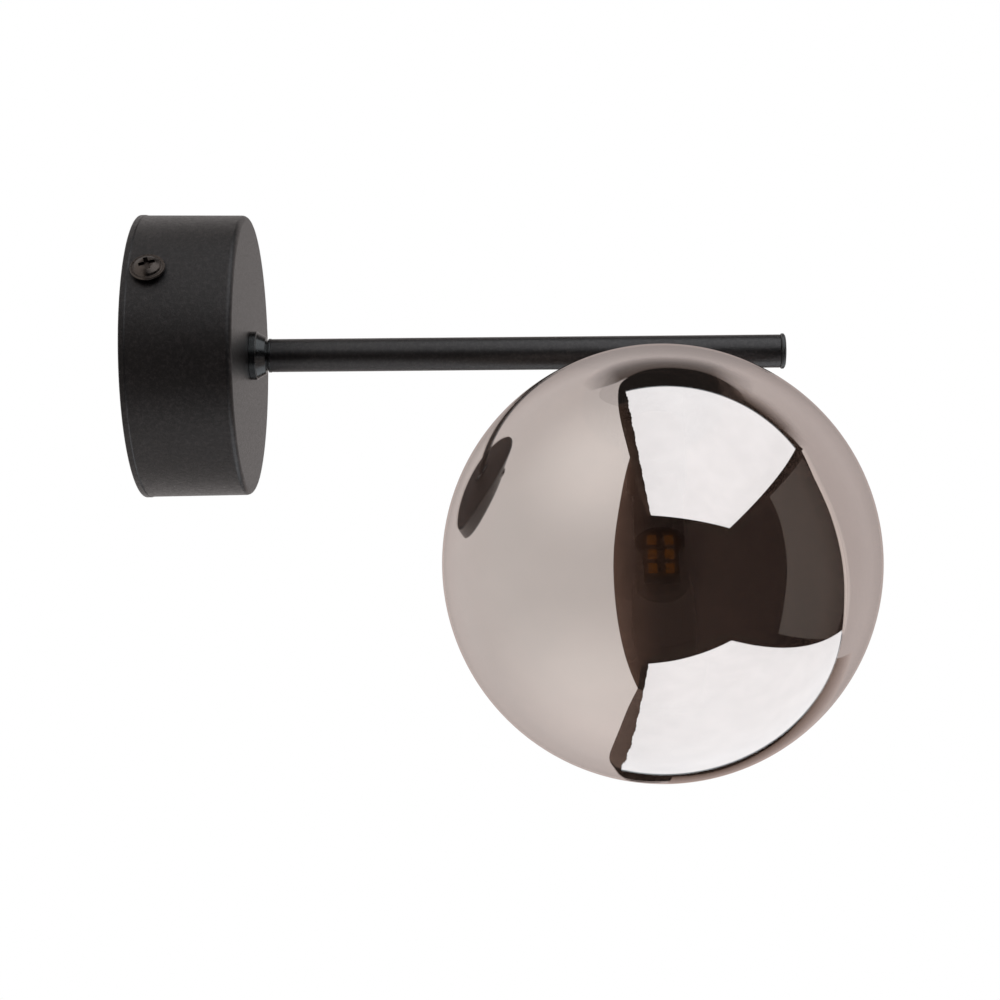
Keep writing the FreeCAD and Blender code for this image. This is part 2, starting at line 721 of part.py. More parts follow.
# Bulb -------------------------------------------------------------------------------
def bulb_base():
    """White ribbed base: a flattened neck that carries the pins, over a round body."""
    radius = bulb_base_diameter / 2
    shoulder = bulb_top - bulb_base_neck_length
    body = rod(radius, base_bottom, shoulder)
    body = body.makeChamfer(radius * 0.18, circle_edges(body, radius, shoulder))
    neck = block(V(-bulb_base_neck_width / 2, -bulb_base_neck_breadth / 2, shoulder - 1),
                 V(bulb_base_neck_width / 2, bulb_base_neck_breadth / 2, bulb_top))
    neck = neck.common(rod(radius, shoulder - 1, bulb_top))
    base = body.fuse(neck)
    cavity = rod(radius - bulb_base_wall, base_bottom - 1, shoulder - bulb_base_wall)
    base = base.cut(cavity)
    for step in range(bulb_ribs):
        angle = 2 * math.pi * step / bulb_ribs
        spot = V(radius * math.cos(angle), radius * math.sin(angle), 0)
        base = base.cut(rod(bulb_rib_depth, base_bottom - 1, base_bottom + bulb_rib_length, Z, spot))
    for side in (-1, 1):
        for leg in (-1, 1):
            spot = V(side * pin_pitch / 2 + leg * (pin_loop_width - pin_wire) / 2, 0, 0)
            base = base.cut(rod(pin_wire / 2 + thread_gap, bulb_top - pin_root, bulb_top + 1, Z, spot))
    return at_globe(base)


def bulb_pins():
    """Two wire loops that push into the lampholder's clips."""
    loops = []
    bend = (pin_loop_width - pin_wire) / 2
    for side in (-1, 1):
        middle = V(side * pin_pitch / 2, 0, 0)
        foot, top = bulb_top - pin_root, bulb_top + pin_length - pin_wire / 2
        left, right = middle - X * bend, middle + X * bend
        edges = [Part.LineSegment(left + Z * foot, left + Z * (top - bend)).toShape(),
                 Part.Arc(left + Z * (top - bend), middle + Z * top, right + Z * (top - bend)).toShape(),
                 Part.LineSegment(right + Z * (top - bend), right + Z * foot).toShape()]
        section = Part.Wire(Part.makeCircle(pin_wire / 2, left + Z * foot, Z))
        loops.append(at_globe(Part.Wire(edges).makePipeShell([section], True, False)))
    return Part.makeCompound(loops)


def bulb_cover():
    """Clear cover, a cup whose sleeve glues into the base."""
    radius = bulb_diameter / 2
    cup = rod(radius, bulb_bottom, base_bottom)
    cup = cup.makeFillet(bulb_cover_edge_radius, circle_edges(cup, radius, bulb_bottom))
    sleeve_radius = bulb_base_diameter / 2 - bulb_base_wall - thread_gap
    cup = cup.fuse(rod(sleeve_radius, base_bottom, base_bottom + bulb_base_lap))
    hollow = rod(sleeve_radius - bulb_cover_wall, bulb_bottom + bulb_cover_end,
                 base_bottom + bulb_base_lap + 1)
    return at_globe(cup.cut(hollow))


def bulb_board():
    """White circuit board, edge-on in the middle of the bulb."""
    low = bulb_bottom + bulb_cover_end + glue_gap
    return at_globe(block(V(-board_width / 2, -board_thickness / 2, low),
                          V(board_width / 2, board_thickness / 2, base_bottom + board_root)))


def bulb_chips():
    """Light-emitting chips in two columns on both faces of the board."""
    chips = []
    for face in (-1, 1):
        low, high = sorted((face * board_thickness / 2, face * (board_thickness / 2 + chip_thickness)))
        for column in (-1, 1):
            middle = column * chip_column_pitch / 2
            for row in range(chip_rows):
                level = bulb_bottom + chip_first_row + row * chip_row_pitch
                chips.append(at_globe(block(
                    V(middle - chip_width / 2, low, level - chip_height / 2),
                    V(middle + chip_width / 2, high, level + chip_height / 2))))
    return Part.makeCompound(chips)


def bulb_driver():
    """Small driver board with a capacitor and a rectifier, inside the base."""
    shoulder = bulb_top - bulb_base_neck_length
    low = base_bottom + board_root + driver_gap
    high = shoulder - bulb_base_wall - driver_gap
    face = driver_thickness / 2
    driver = block(V(-driver_width / 2, -face, low), V(driver_width / 2, face, high))
    capacitor = rod(capacitor_diameter / 2, low + driver_gap, low + driver_gap + capacitor_length, Z,
                    V(-driver_width / 4, -face - capacitor_diameter / 2 + glue_gap, 0))
    corner = V(driver_width / 4 - rectifier_size / 2, face, low + capacitor_length / 2)
    rectifier = block(corner, corner + V(rectifier_size, rectifier_size / 2, rectifier_size))
    return at_globe(driver.fuse(capacitor).fuse(rectifier))


# Terminal block and earth screw -----------------------------------------------------
def pole_places():
    return [(step - (pole_count - 1) / 2) * pole_pitch for step in range(pole_count)]


def screw_levels():
    return [-block_offset + side * terminal_screw_pitch / 2 for side in (-1, 1)]


def terminal_block():
    low = V(bracket_thickness, -block_length / 2, -block_offset - block_breadth / 2)
    high = V(bracket_thickness + block_height, block_length / 2, -block_offset + block_breadth / 2)
    body = block(low, high)
    body = body.makeChamfer(block_chamfer, [edge for edge in body.Edges
                                            if abs(edge.CenterOfMass.x - high.x) < 1e-6])
    for place in pole_places():
        body = body.cut(rod(sleeve_diameter / 2 + thread_gap, low.z - 1, high.z + 1, Z,
                            V(sleeve_x, place, 0)))
        for level in screw_levels():
            body = body.cut(rod(terminal_well / 2, sleeve_x, high.x + 1, X, V(0, place, level)))
    for place in pole_places()[:-1]:
        groove = place + pole_pitch / 2
        half = block_groove_width / 2
        body = body.cut(block(V(high.x - block_groove_depth, groove - half, low.z - 1),
                              V(high.x + 1, groove + half, high.z + 1)))
    shank = rod(block_screw_thread / 2 + glue_gap, low.x - 1, high.x + 1, X,
                V(0, pole_pitch / 2, -block_offset))
    well = rod(block_screw_head / 2 + glue_gap, high.x - block_screw_sink, high.x + 1, X,
               V(0, pole_pitch / 2, -block_offset))
    return body.cut(shank).cut(well)


def terminal_sleeves():
    half = sleeve_length / 2
    sleeves = []
    for place in pole_places():
        sleeve = tube(sleeve_diameter / 2, sleeve_bore / 2, -block_offset - half,
                      -block_offset + half, Z, V(sleeve_x, place, 0))
        for level in screw_levels():
            sleeve = sleeve.cut(rod(terminal_thread / 2 + thread_gap, sleeve_x,
                                    sleeve_x + sleeve_diameter, X, V(0, place, level)))
        sleeves.append(sleeve)
    return Part.makeCompound(sleeves)


def terminal_screws():
    """Clamp screws of the terminal block: those on the lamp's side bear on its leads."""
    radius = terminal_thread / 2
    top = sleeve_x + sleeve_diameter / 2 + terminal_screw_height
    tip = sleeve_x + wire_diameter / 2 + thread_gap
    screws = []
    for place in pole_places():
        for level in screw_levels():
            screw = rod(radius, tip, top, X, V(0, place, level))
            head = rod(terminal_well / 2 - seat_gap, top - terminal_head_height, top, X,
                       V(0, place, level))
            cut = slot_cut(radius / 2, terminal_head_height / 2, terminal_well * 2, top, X,
                           V(0, place, level))
            screws.append(screw.fuse(head).cut(cut))
    return Part.makeCompound(screws)


def block_screw():
    """Screw that holds the terminal block on the bracket's lug."""
    centre = V(0, pole_pitch / 2, -block_offset)
    seat = bracket_thickness + block_height - block_screw_sink
    top = seat + block_screw_head_height
    head = rod(block_screw_head / 2, seat, top, X, centre)
    head = head.cut(slot_cut(block_screw_thread / 4, block_screw_head_height / 2,
                             block_screw_head * 2, top, X, centre))
    return head.fuse(rod(block_screw_thread / 2, seat_gap, seat, X, centre))


def earth_screw():
    centre = V(0, 0, earth_offset)
    seat = bracket_thickness + tag_thickness
    top = seat + earth_head_height
    radius = earth_thread * 0.9
    head = rod(radius, seat, top, X, centre)
    head = head.makeFillet(earth_head_height * 0.3, circle_edges(head, radius, top, X))
    head = head.cut(cross_recess(radius, earth_head_height * 0.6, top, X, centre))
    return head.fuse(rod(earth_thread / 2, top - earth_screw_length, seat, X, centre))


def earth_tag():
    """Ring tag under the earth screw, with a barrel crimped on the earth lead."""
    low, high = bracket_thickness, bracket_thickness + tag_thickness
    centre = V(0, 0, earth_offset)
    barrel_top = earth_offset - tag_diameter / 2 - tag_tongue
    barrel_radius = tag_barrel_diameter / 2
    axis_x = low + barrel_radius
    tongue = block(V(low, -barrel_radius, barrel_top - 0.5), V(high, barrel_radius, earth_offset))
    ring = rod(tag_diameter / 2, low, high, X, centre).fuse(tongue)
    ring = ring.cut(rod(earth_thread / 2 + glue_gap, low - 1, high + 1, X, centre))
    barrel = tube(barrel_radius, wire_diameter / 2 + thread_gap, barrel_top - tag_barrel_length,
                  barrel_top, Z, V(axis_x, 0, 0))
    return ring.fuse(barrel)


# Wires ------------------------------------------------------------------------------
def lead(side):
    """One lead from the terminal block through the arm to the lampholder."""
    pole = side * pole_pitch * (pole_count - 1) / 2
    offset = side * wire_offset
    across = side * pin_pitch / 2
    mouth = nipple_start - bush_flange_thickness
    joint = V(globe_offset, offset, hanger_bottom)
    in_arm = [V(sleeve_x, pole, -block_offset + sleeve_length / 4),
              V(sleeve_x, pole, -block_offset + block_breadth / 2 + wire_diameter * 3.5),
              V(mouth - wire_bend, offset, 0), V(globe_offset, offset, 0), joint]
    to_holder = [joint, V(globe_offset, offset, hanger_bottom - wire_straight),
                 V(globe_offset + across, 0, holder_top + wire_straight),
                 V(globe_offset + across, 0, socket_top + glue_gap)]
    return wire_solid(in_arm, wire_bend).fuse(wire_solid(to_holder, holder_wire_bend))


def earth_lead():
    """Short earth lead from the block's middle pole up to the ring tag."""
    barrel_end = earth_offset - tag_diameter / 2 - tag_tongue - tag_barrel_length
    tag_x = bracket_thickness + tag_barrel_diameter / 2
    start = -block_offset + sleeve_length / 4
    return wire_solid([V(sleeve_x, 0, start), V(sleeve_x, 0, start + earth_wire_rise),
                       V(tag_x, 0, barrel_end - earth_wire_reach),
                       V(tag_x, 0, barrel_end + tag_barrel_length * 0.6)], earth_wire_bend)


# Build ------------------------------------------------------------------------------
def nodes():
    hub = V(globe_offset, 0, 0)
    return {
        "canopy": canopy(),
        "mounting_bracket": mounting_bracket(),
        "canopy_screw_left": side_screw(-1),
        "canopy_screw_right": side_screw(1),
        "threaded_nipple": nipple(),
        "nipple_nut": nut(nut_start, nut_start + nut_thickness, X),
        "nipple_washer": toothed_washer(canopy_inner_face - washer_thickness, X),
        "nipple_bush": nipple_bush(),
        "collar": collar(),
        "spacer_ring": spacer_ring(),
        "arm_tube": arm_tube(),
        "end_plug": end_plug(),
        "hanger": hanger(),
        "globe_cap": globe_cap(),
        "cap_washer": toothed_washer(cap_washer_bottom, Z, hub),
        "cap_nut": nut(cap_nut_bottom, cap_washer_bottom, Z, hub),
        "holder_strap": holder_strap(),
        "lampholder": lampholder(),
        "holder_contacts": holder_contacts(),
        "holder_screws": holder_screws(),
        "glass_globe": glass_globe(),
        "globe_ring": globe_ring(),
        "globe_gasket": globe_gasket(),
        "bulb_base": bulb_base(),
        "bulb_pins": bulb_pins(),
        "bulb_cover": bulb_cover(),
        "bulb_board": bulb_board(),
        "bulb_chips": bulb_chips(),
        "bulb_driver": bulb_driver(),
        "terminal_block": terminal_block(),
        "terminal_sleeves": terminal_sleeves(),
        "terminal_screws": terminal_screws(),
        "block_screw": block_screw(),
        "earth_screw": earth_screw(),
        "earth_tag": earth_tag(),
        "live_lead": lead(-1),
        "neutral_lead": lead(1),
        "earth_lead": earth_lead(),
    }


os.makedirs("parts", exist_ok=True)
for name, shape in nodes().items():
    if not shape.isValid():
        print("not valid:", name)
    shape.exportStep("parts/%s.step" % name)
    print(name, len(shape.Solids), round(shape.Volume, 1))
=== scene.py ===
"""Globe wall sconce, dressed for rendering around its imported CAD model.

Frame: origin at the middle of the canopy's back face, +X out of the wall, +Z up.
Sizes in the helpers are millimetres and become metres when a vertex is made.
"""

import math

import bmesh
import bpy
from bpy.props import FloatProperty, FloatVectorProperty, IntProperty, PointerProperty
from mathutils import Euler, Matrix, Vector


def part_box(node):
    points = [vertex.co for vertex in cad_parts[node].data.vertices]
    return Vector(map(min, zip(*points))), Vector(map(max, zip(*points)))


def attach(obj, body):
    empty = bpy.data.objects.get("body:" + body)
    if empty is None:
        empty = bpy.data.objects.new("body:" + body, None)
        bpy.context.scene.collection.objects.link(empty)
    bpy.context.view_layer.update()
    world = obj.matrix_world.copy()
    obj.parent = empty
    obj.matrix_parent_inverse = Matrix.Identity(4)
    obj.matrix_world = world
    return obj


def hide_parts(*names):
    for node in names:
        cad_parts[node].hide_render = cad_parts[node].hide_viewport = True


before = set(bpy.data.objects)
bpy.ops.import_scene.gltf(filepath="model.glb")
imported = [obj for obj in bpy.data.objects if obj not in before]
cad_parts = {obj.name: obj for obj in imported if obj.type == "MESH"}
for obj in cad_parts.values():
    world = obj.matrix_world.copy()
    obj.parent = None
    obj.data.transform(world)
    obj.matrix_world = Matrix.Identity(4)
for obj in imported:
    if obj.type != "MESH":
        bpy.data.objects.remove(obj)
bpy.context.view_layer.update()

bl_info = {
    "name": "Globe wall sconce",
    "version": (1, 0, 0),
    "blender": (4, 5, 0),
    "location": "3D View > Sidebar > Sconce",
    "description": "Builds a wall sconce with a smoked mirror globe, piece by piece",
    "category": "Object",
}

mm = 0.001
X, Y, Z = Vector((1, 0, 0)), Vector((0, 1, 0)), Vector((0, 0, 1))


def reach(node):
    """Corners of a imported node's box, in millimetres."""
    low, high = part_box(node)
    return low / mm, high / mm


globe_low, globe_high = reach("glass_globe")
globe_radius = (globe_high.x - globe_low.x) / 2
# The globe's centre, and where the hanger's axis meets the arm's
hub = Vector(((globe_low.x + globe_high.x) / 2, 0, globe_low.z + globe_radius))
stem = Vector((hub.x, 0, 0))


# Settings ---------------------------------------------------------------------------
class SconceSizes(bpy.types.PropertyGroup):
    canopy_bead: FloatProperty(
        name="Canopy bead", description="How far the canopy's wall edge stands proud of its side",
        default=0.0002, unit="LENGTH")
    canopy_draft: FloatProperty(
        name="Canopy draft", description="How much the canopy's radius shrinks towards its front",
        default=0.0004, unit="LENGTH")
    canopy_edge: FloatProperty(
        name="Canopy edge", description="Radius of the canopy's front edge",
        default=0.002, unit="LENGTH")
    mouth_wall: FloatProperty(
        name="Mouth wall", description="Thickness of the glass at the globe's mouth",
        default=0.0022, unit="LENGTH")
    belly_wall: FloatProperty(
        name="Belly wall", description="Thickness that the glass thins to away from the mouth",
        default=0.0004, unit="LENGTH")
    thread_pitch: FloatProperty(
        name="Thread pitch", description="Pitch of the threaded tube behind the canopy",
        default=0.001, unit="LENGTH")
    round_steps: IntProperty(
        name="Round steps", description="Faces around a large round piece", default=160)


class SconceFinishes(bpy.types.PropertyGroup):
    powder: FloatVectorProperty(
        name="Powder coat", description="Colour of the textured black coat",
        subtype="COLOR", size=3, default=(0.0056, 0.0047, 0.0047))
    satin: FloatVectorProperty(
        name="Satin paint", description="Colour of the collar and the plug",
        subtype="COLOR", size=3, default=(0.004, 0.0038, 0.0038))
    grain: FloatProperty(
        name="Powder grain", description="Width of the powder coat's grain",
        default=0.0007, unit="LENGTH")
    mirror: FloatVectorProperty(
        name="Mirror coat", description="What the coat inside the globe reflects",
        subtype="COLOR", size=3, default=(0.705, 0.631, 0.602))
    smoke: FloatVectorProperty(
        name="Smoke", description="What the coat lets through where it doesn't reflect",
        subtype="COLOR", size=3, default=(0.95, 0.78, 0.70))
    mirror_share: FloatProperty(
        name="Mirror share", description="Share of light that meets the mirror coat",
        default=0.86, subtype="FACTOR", min=0, max=1)
    nickel: FloatVectorProperty(
        name="Black nickel", description="Colour of the side screws",
        subtype="COLOR", size=3, default=(0.085, 0.070, 0.062))


class SconceStudio(bpy.types.PropertyGroup):
    camera_place: FloatVectorProperty(
        name="Camera place", description="Where the camera stands, below the arm",
        subtype="TRANSLATION", size=3, default=(0.13975, -0.55127, -0.51319))
    camera_turn: FloatVectorProperty(
        name="Camera turn", description="The camera's angles", subtype="EULER", size=3,
        default=(2.251346, -0.005706, 0.019442))
    lens: FloatProperty(
        name="Lens", description="Focal length in millimetres", default=76.33)
    sweep_light: FloatProperty(
        name="Sweep light", description="Brightness of the white studio sweep", default=0.69)
    softbox_light: FloatProperty(
        name="Softbox light", description="Brightness of the two softboxes", default=1.42)


# Mesh helpers -----------------------------------------------------------------------
def eased(corners, steps=6):
    """Profile of (along, radius[, rounding]) corners, in order round a closed outline."""
    points = []
    for number, corner in enumerate(corners):
        here = Vector(corner[:2])
        rounding = corner[2] if len(corner) > 2 else 0
        if not rounding:
            points.append(here)
            continue
        back = (Vector(corners[number - 1][:2]) - here).normalized()
        ahead = (Vector(corners[(number + 1) % len(corners)][:2]) - here).normalized()
        half = back.angle(ahead) / 2
        centre = here + (back + ahead).normalized() * (rounding / math.sin(half))
        first = here + back * (rounding / math.tan(half)) - centre
        last = here + ahead * (rounding / math.tan(half)) - centre
        sweep = first.angle(last)
        for step in range(steps + 1):
            share = step / steps
            points.append(centre + (first * math.sin((1 - share) * sweep)
                                    + last * math.sin(share * sweep)) / math.sin(sweep))
    return points


def sides_of(axis):
    """Two directions across an axis."""
    first = Y if abs(axis.x) > 0.5 else X
    return first, axis.cross(first)


def turned(profile, axis, centre=Vector(), steps=96, slots=None, closed=True):
    """Bmesh of (along, radius) points turned about an axis."""
    bm = bmesh.new()
    first, second = sides_of(axis)
    rings = []
    for along, radius in profile:
        base = centre + axis * along
        if radius < 1e-6:
            rings.append([bm.verts.new(base * mm)])
            continue
        ring = []
        for step in range(steps):
            angle = 2 * math.pi * step / steps
            ring.append(bm.verts.new(
                (base + (first * math.cos(angle) + second * math.sin(angle)) * radius) * mm))
        rings.append(ring)
    pairs = list(zip(rings, rings[1:]))
    if closed:
        pairs.append((rings[-1], rings[0]))
    for number, (one, other) in enumerate(pairs):
        if len(one) == 1 and len(other) == 1:
            continue
        for step in range(steps):
            after = (step + 1) % steps
            corners = []
            for ring, place in ((one, step), (one, after), (other, after), (other, step)):
                vert = ring[place % len(ring)]
                if vert not in corners:
                    corners.append(vert)
            face = bm.faces.new(corners)
            face.material_index = slots[number] if slots else 0
    return bm


def drill(axis, start, end, radius, centre=Vector()):
    """Round rod along an axis, to cut a hole with."""
    return turned([(start, 0), (start, radius), (end, radius), (end, 0)], axis, centre, 48,
                  closed=False)


def threaded(axis, centre, start, end, crest, pitch, depth, steps=48):
    """Bmesh of a closed rod with a helical thread between two places along an axis."""
    bm = bmesh.new()
    first, second = sides_of(axis)
    low, high = min(start, end), max(start, end)
    form = (0, 0.5, 1, 0.5)  # share of the depth at each point, from crest to crest
    count = len(form)
    rows = count * int((high - low) / pitch + 3)
    chamfer = depth * 1.2
    columns = []
    for step in range(steps):
        angle = 2 * math.pi * step / steps
        outward = first * math.cos(angle) + second * math.sin(angle)
        column = []
        for row in range(rows):
            along = low + pitch * ((row - count) / count + step / steps)
            radius = crest - depth * form[row % count]
            along = min(max(along, low), high)
            edge = min(along - low, high - along)
            radius = min(radius, crest - max(chamfer - edge, 0))
            column.append(bm.verts.new((centre + axis * along + outward * radius) * mm))
        columns.append(column)
    for step in range(steps):
        after = (step + 1) % steps
        shift = count if after == 0 else 0
        for row in range(rows - 1 - shift):
            bm.faces.new([columns[step][row], columns[step][row + 1],
                          columns[after][row + 1 + shift], columns[after][row + shift]])
    bmesh.ops.remove_doubles(bm, verts=bm.verts, dist=2e-6)
    bmesh.ops.dissolve_degenerate(bm, edges=bm.edges, dist=1e-7)
    bmesh.ops.holes_fill(bm, edges=[edge for edge in bm.edges if edge.is_boundary], sides=0)
    return bm


def as_mesh(name, bm):
    """Mesh made from a bmesh, which is freed."""
    mesh = bpy.data.meshes.new(name)
    bm.to_mesh(mesh)
    bm.free()
    return mesh


def joined(one, other):
    """Two bmeshes in one, without cutting either."""
    mesh = as_mesh("joining", other)
    one.from_mesh(mesh)
    bpy.data.meshes.remove(mesh)
    return one


def finished(name, bm, body, slot, stands_for, finishes=None, crease=40):
    """Makes a piece of the object from a bmesh and puts it on its body.

    Its finishes are those of its slot where no others are named.
    """
    bmesh.ops.recalc_face_normals(bm, faces=bm.faces)
    mesh = as_mesh(name, bm)
    for finish in finishes or [slot]:
        mesh.materials.append(material(finish))
    mesh.shade_smooth()
    mesh.set_sharp_from_angle(angle=math.radians(crease))
    obj = bpy.data.objects.new(name, mesh)
    bpy.context.scene.collection.objects.link(obj)
    weighted = obj.modifiers.new("Even shading", "WEIGHTED_NORMAL")
    weighted.keep_sharp = True
    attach(obj, body)
    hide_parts(*stands_for)


def carved(bm, cutters):
    """The bmesh less a list of cutter bmeshes, as a new bmesh."""
    block = bpy.data.objects.new("carving", as_mesh("carving", bm))
    bpy.context.scene.collection.objects.link(block)
    tools = []
    for number, cutter in enumerate(cutters):
        bmesh.ops.recalc_face_normals(cutter, faces=cutter.faces)
        tool = bpy.data.objects.new("cutter", as_mesh("cutter", cutter))
        bpy.context.scene.collection.objects.link(tool)
        cut = block.modifiers.new("Cut %d" % number, "BOOLEAN")
        cut.operation, cut.solver, cut.object = "DIFFERENCE", "EXACT", tool
        tools.append(tool)
    bpy.context.view_layer.update()
    result = bmesh.new()
    result.from_object(block, bpy.context.evaluated_depsgraph_get())
    for obj in tools + [block]:
        mesh = obj.data
        bpy.data.objects.remove(obj)
        bpy.data.meshes.remove(mesh)
    return result


def dress(node, finish, bevel=0.0):
    """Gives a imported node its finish, and fine rounded edges where a bevel is asked for."""
    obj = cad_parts[node]
    obj.data.materials.clear()
    obj.data.materials.append(material(finish))
    if bevel:
        weld = obj.modifiers.new("Weld", "WELD")
        weld.merge_threshold = 1e-6
        edge = obj.modifiers.new("Edges", "BEVEL")
        edge.width, edge.segments, edge.limit_method = bevel * mm, 2, "ANGLE"
        edge.angle_limit = math.radians(40)
        edge.harden_normals = True


# Material helpers -------------------------------------------------------------------
class Recipe:
    """Node tree of a material or a world, with short ways to add and join nodes."""

    def __init__(self, name, kind="Material"):
        shelf = bpy.data.worlds if kind == "World" else bpy.data.materials
        self.owner = shelf.new(name)
        self.owner.use_nodes = True
        self.tree = self.owner.node_tree
        self.tree.nodes.clear()
        self.out = self.add("Output" + kind)

    def add(self, kind, *links, **values):
        """New node. links are (input, output socket) pairs; values set inputs or properties."""
        node = self.tree.nodes.new("ShaderNode" + kind)
        for name, value in values.items():
            label = name.replace("_", " ")
            if label in node.inputs:
                if node.inputs[label].type == "RGBA":
                    value = (*value, 1)
                node.inputs[label].default_value = value
            else:
                setattr(node, name, value)
        for place, source in links:
            self.tree.links.new(source, node.inputs[place])
        return node

    def ramp(self, source, stops):
        """Colour ramp fed by a socket. stops are (place, grey or colour) pairs."""
        node = self.add("ValToRGB", (0, source))
        ends = node.color_ramp.elements
        while len(ends) < len(stops):
            ends.new(0.5)
        for end, (place, colour) in zip(ends, stops):
            end.position = place
            end.color = (*colour, 1) if hasattr(colour, "__len__") else (colour,) * 3 + (1,)
        return node.outputs["Color"]

    def spread(self, source, low, high, from_low=0.3, from_high=0.7):
        """Maps a socket's middle range to another range."""
        return self.add("MapRange", (0, source), From_Min=from_low, From_Max=from_high,
                        To_Min=low, To_Max=high).outputs[0]

    def noise(self, scale, detail=3.0, roughness=0.6, stretch=None):
        """Noise in the piece's own coordinates. scale is features per metre."""
        place = self.add("TexCoord").outputs["Object"]
        if stretch:
            place = self.add("Mapping", (0, place), Scale=stretch).outputs[0]
        return self.add("TexNoise", ("Vector", place), Scale=scale, Detail=detail,
                        Roughness=roughness).outputs[0]

    def bump(self, height, distance):
        return self.add("Bump", ("Height", height), Distance=distance).outputs[0]

    def join(self, one, other, operation="MULTIPLY"):
        """Product of two sockets, or another sum made with them."""
        return self.add("Math", (0, one), (1, other), operation=operation).outputs[0]

    def mixed(self, share, one, other):
        """Two shaders, mixed by a socket."""
        return self.add("MixShader", (0, share), (1, one.outputs[0]), (2, other.outputs[0]))

    def finish(self, shader):
        self.tree.links.new(shader.outputs[0], self.out.inputs["Surface"])
        return self.owner


def tinted(colour, factor):
    return tuple(min(channel * factor, 1.0) for channel in colour)


def coat_material(name, colour, grain, gloss=0.52, roughness=0.34, depth=0.00011):
    """Textured powder coat: fine orange-peel grain and a few specks; its crests are paler with
    painted highlight and its hollows darker with painted shade.
    """
    recipe = Recipe(name)
    fine = recipe.noise(0.5 / grain, 5.0, 0.85)
    broad = recipe.noise(0.12 / grain, 2.0, 0.5)
    # the colour follows the grain's bump: painted shade darkens the hollows and painted highlight
    # pales the crests, under a random mottle
    shade = recipe.ramp(fine, [(0.36, tinted(colour, 0.05)), (0.48, tinted(colour, 0.6)),
                               (0.56, tinted(colour, 2.4)), (0.66, tinted(colour, 6.0))])
    mottle_and_painted_light = recipe.add("VectorMath", (0, shade), ("Scale", recipe.spread(broad, 0.8, 1.2)),
                         operation="SCALE")
    shader = recipe.add("BsdfPrincipled", ("Base Color", mottle_and_painted_light.outputs[0]),
                        ("Roughness", recipe.spread(fine, roughness + 0.10, roughness - 0.10)),
                        ("Normal", recipe.bump(fine, depth)),
                        Specular_IOR_Level=gloss, Specular_Tint=(1.0, 0.93, 0.92))
    return recipe.finish(shader)


def paint_material(name, colour, roughness=0.22):
    """Smooth satin paint with a faint cloudiness in its gloss."""
    recipe = Recipe(name)
    cloud = recipe.noise(900, 2.0)
    shade = recipe.ramp(recipe.noise(220, 2.0), [(0.3, tinted(colour, 0.85)),
                                                 (0.7, tinted(colour, 1.2))])
    shader = recipe.add("BsdfPrincipled", ("Base Color", shade),
                        ("Roughness", recipe.spread(cloud, roughness - 0.04, roughness + 0.06)),
                        ("Normal", recipe.bump(cloud, 0.000012)), Specular_IOR_Level=0.7)
    return recipe.finish(shader)


def metal_material(name, colour, roughness, stretch=None, scale=1500):
    """Plated or turned metal with fine marks in its gloss."""
    recipe = Recipe(name)
    marks = recipe.noise(scale, 3.0, 0.6, stretch)
    stain = recipe.noise(160, 3.0)
    shade = recipe.ramp(stain, [(0.3, tinted(colour, 0.82)), (0.7, tinted(colour, 1.08))])
    shader = recipe.add("BsdfPrincipled", ("Base Color", shade),
                        ("Roughness", recipe.spread(marks, roughness - 0.08, roughness + 0.12)),
                        ("Normal", recipe.bump(marks, 0.00001)), Metallic=1.0)
    return recipe.finish(shader)


def moulded_material(name, colour, roughness, waxy=0.0, speck=0.92):
    """Moulded plastic, rubber or ceramic with slight mottling.

    waxy is the share of light that travels under its skin, and speck its darkest mottling.
    """
    recipe = Recipe(name)
    fine = recipe.noise(2600, 2.0)
    shade = recipe.ramp(recipe.noise(350, 3.0), [(0.3, tinted(colour, speck)),
                                                 (0.7, tinted(colour, 2 - speck))])
    shader = recipe.add("BsdfPrincipled", ("Base Color", shade),
                        ("Roughness", recipe.spread(fine, roughness - 0.05, roughness + 0.08)),
                        ("Normal", recipe.bump(fine, 0.000015)))
    if waxy:
        shader.inputs["Subsurface Weight"].default_value = waxy
        shader.inputs["Subsurface Radius"].default_value = (0.002, 0.0018, 0.0015)
        shader.inputs["Subsurface Scale"].default_value = 1.0
    return recipe.finish(shader)


def outer_facing(recipe):
    """1 on the side that a face's normal points to, and 0 on its back."""
    behind = recipe.add("NewGeometry").outputs["Backfacing"]
    node = recipe.add("Math", (1, behind), operation="SUBTRACT")
    node.inputs[0].default_value = 1
    return node.outputs[0]


def clear_material(name, tint=(1, 1, 1), ior=1.5, rim=None, milk=0.0):
    """Clear surface that doesn't bend light and mirrors only from its outer side.

    rim is what its last few degrees show, where a thick wall would bend the coat behind it
    into view. milk is how much a moulded cover's streaks scatter.
    """
    recipe = Recipe(name)
    outer = outer_facing(recipe)
    most = 0.14  # share of the light that it mirrors at a grazing view
    mirror = recipe.spread(recipe.add("Fresnel", IOR=ior).outputs[0], 0, most, 0, most)
    shader = recipe.add("BsdfTransparent", Color=tint)
    if milk:
        streaks = recipe.noise(420, 3.0, 0.6, (0.35, 0.35, 2.2))
        hazy = recipe.add("BsdfDiffuse", Color=(0.75, 0.73, 0.70))
        shader = recipe.mixed(recipe.spread(streaks, milk * 0.4, milk * 1.6), shader, hazy)
    gloss = recipe.add("BsdfAnisotropic", Color=(1, 1, 1), Roughness=0.0)
    shader = recipe.mixed(recipe.join(mirror, outer), shader, gloss)
    if rim:
        edge = recipe.add("LayerWeight", Blend=0.5).outputs["Facing"]
        near = recipe.join(recipe.spread(edge, 0, 1, 0.86, 0.89), outer)
        coat = recipe.add("BsdfAnisotropic", Color=rim, Roughness=0.0)
        shader = recipe.mixed(near, shader, coat)
    return recipe.finish(shader)


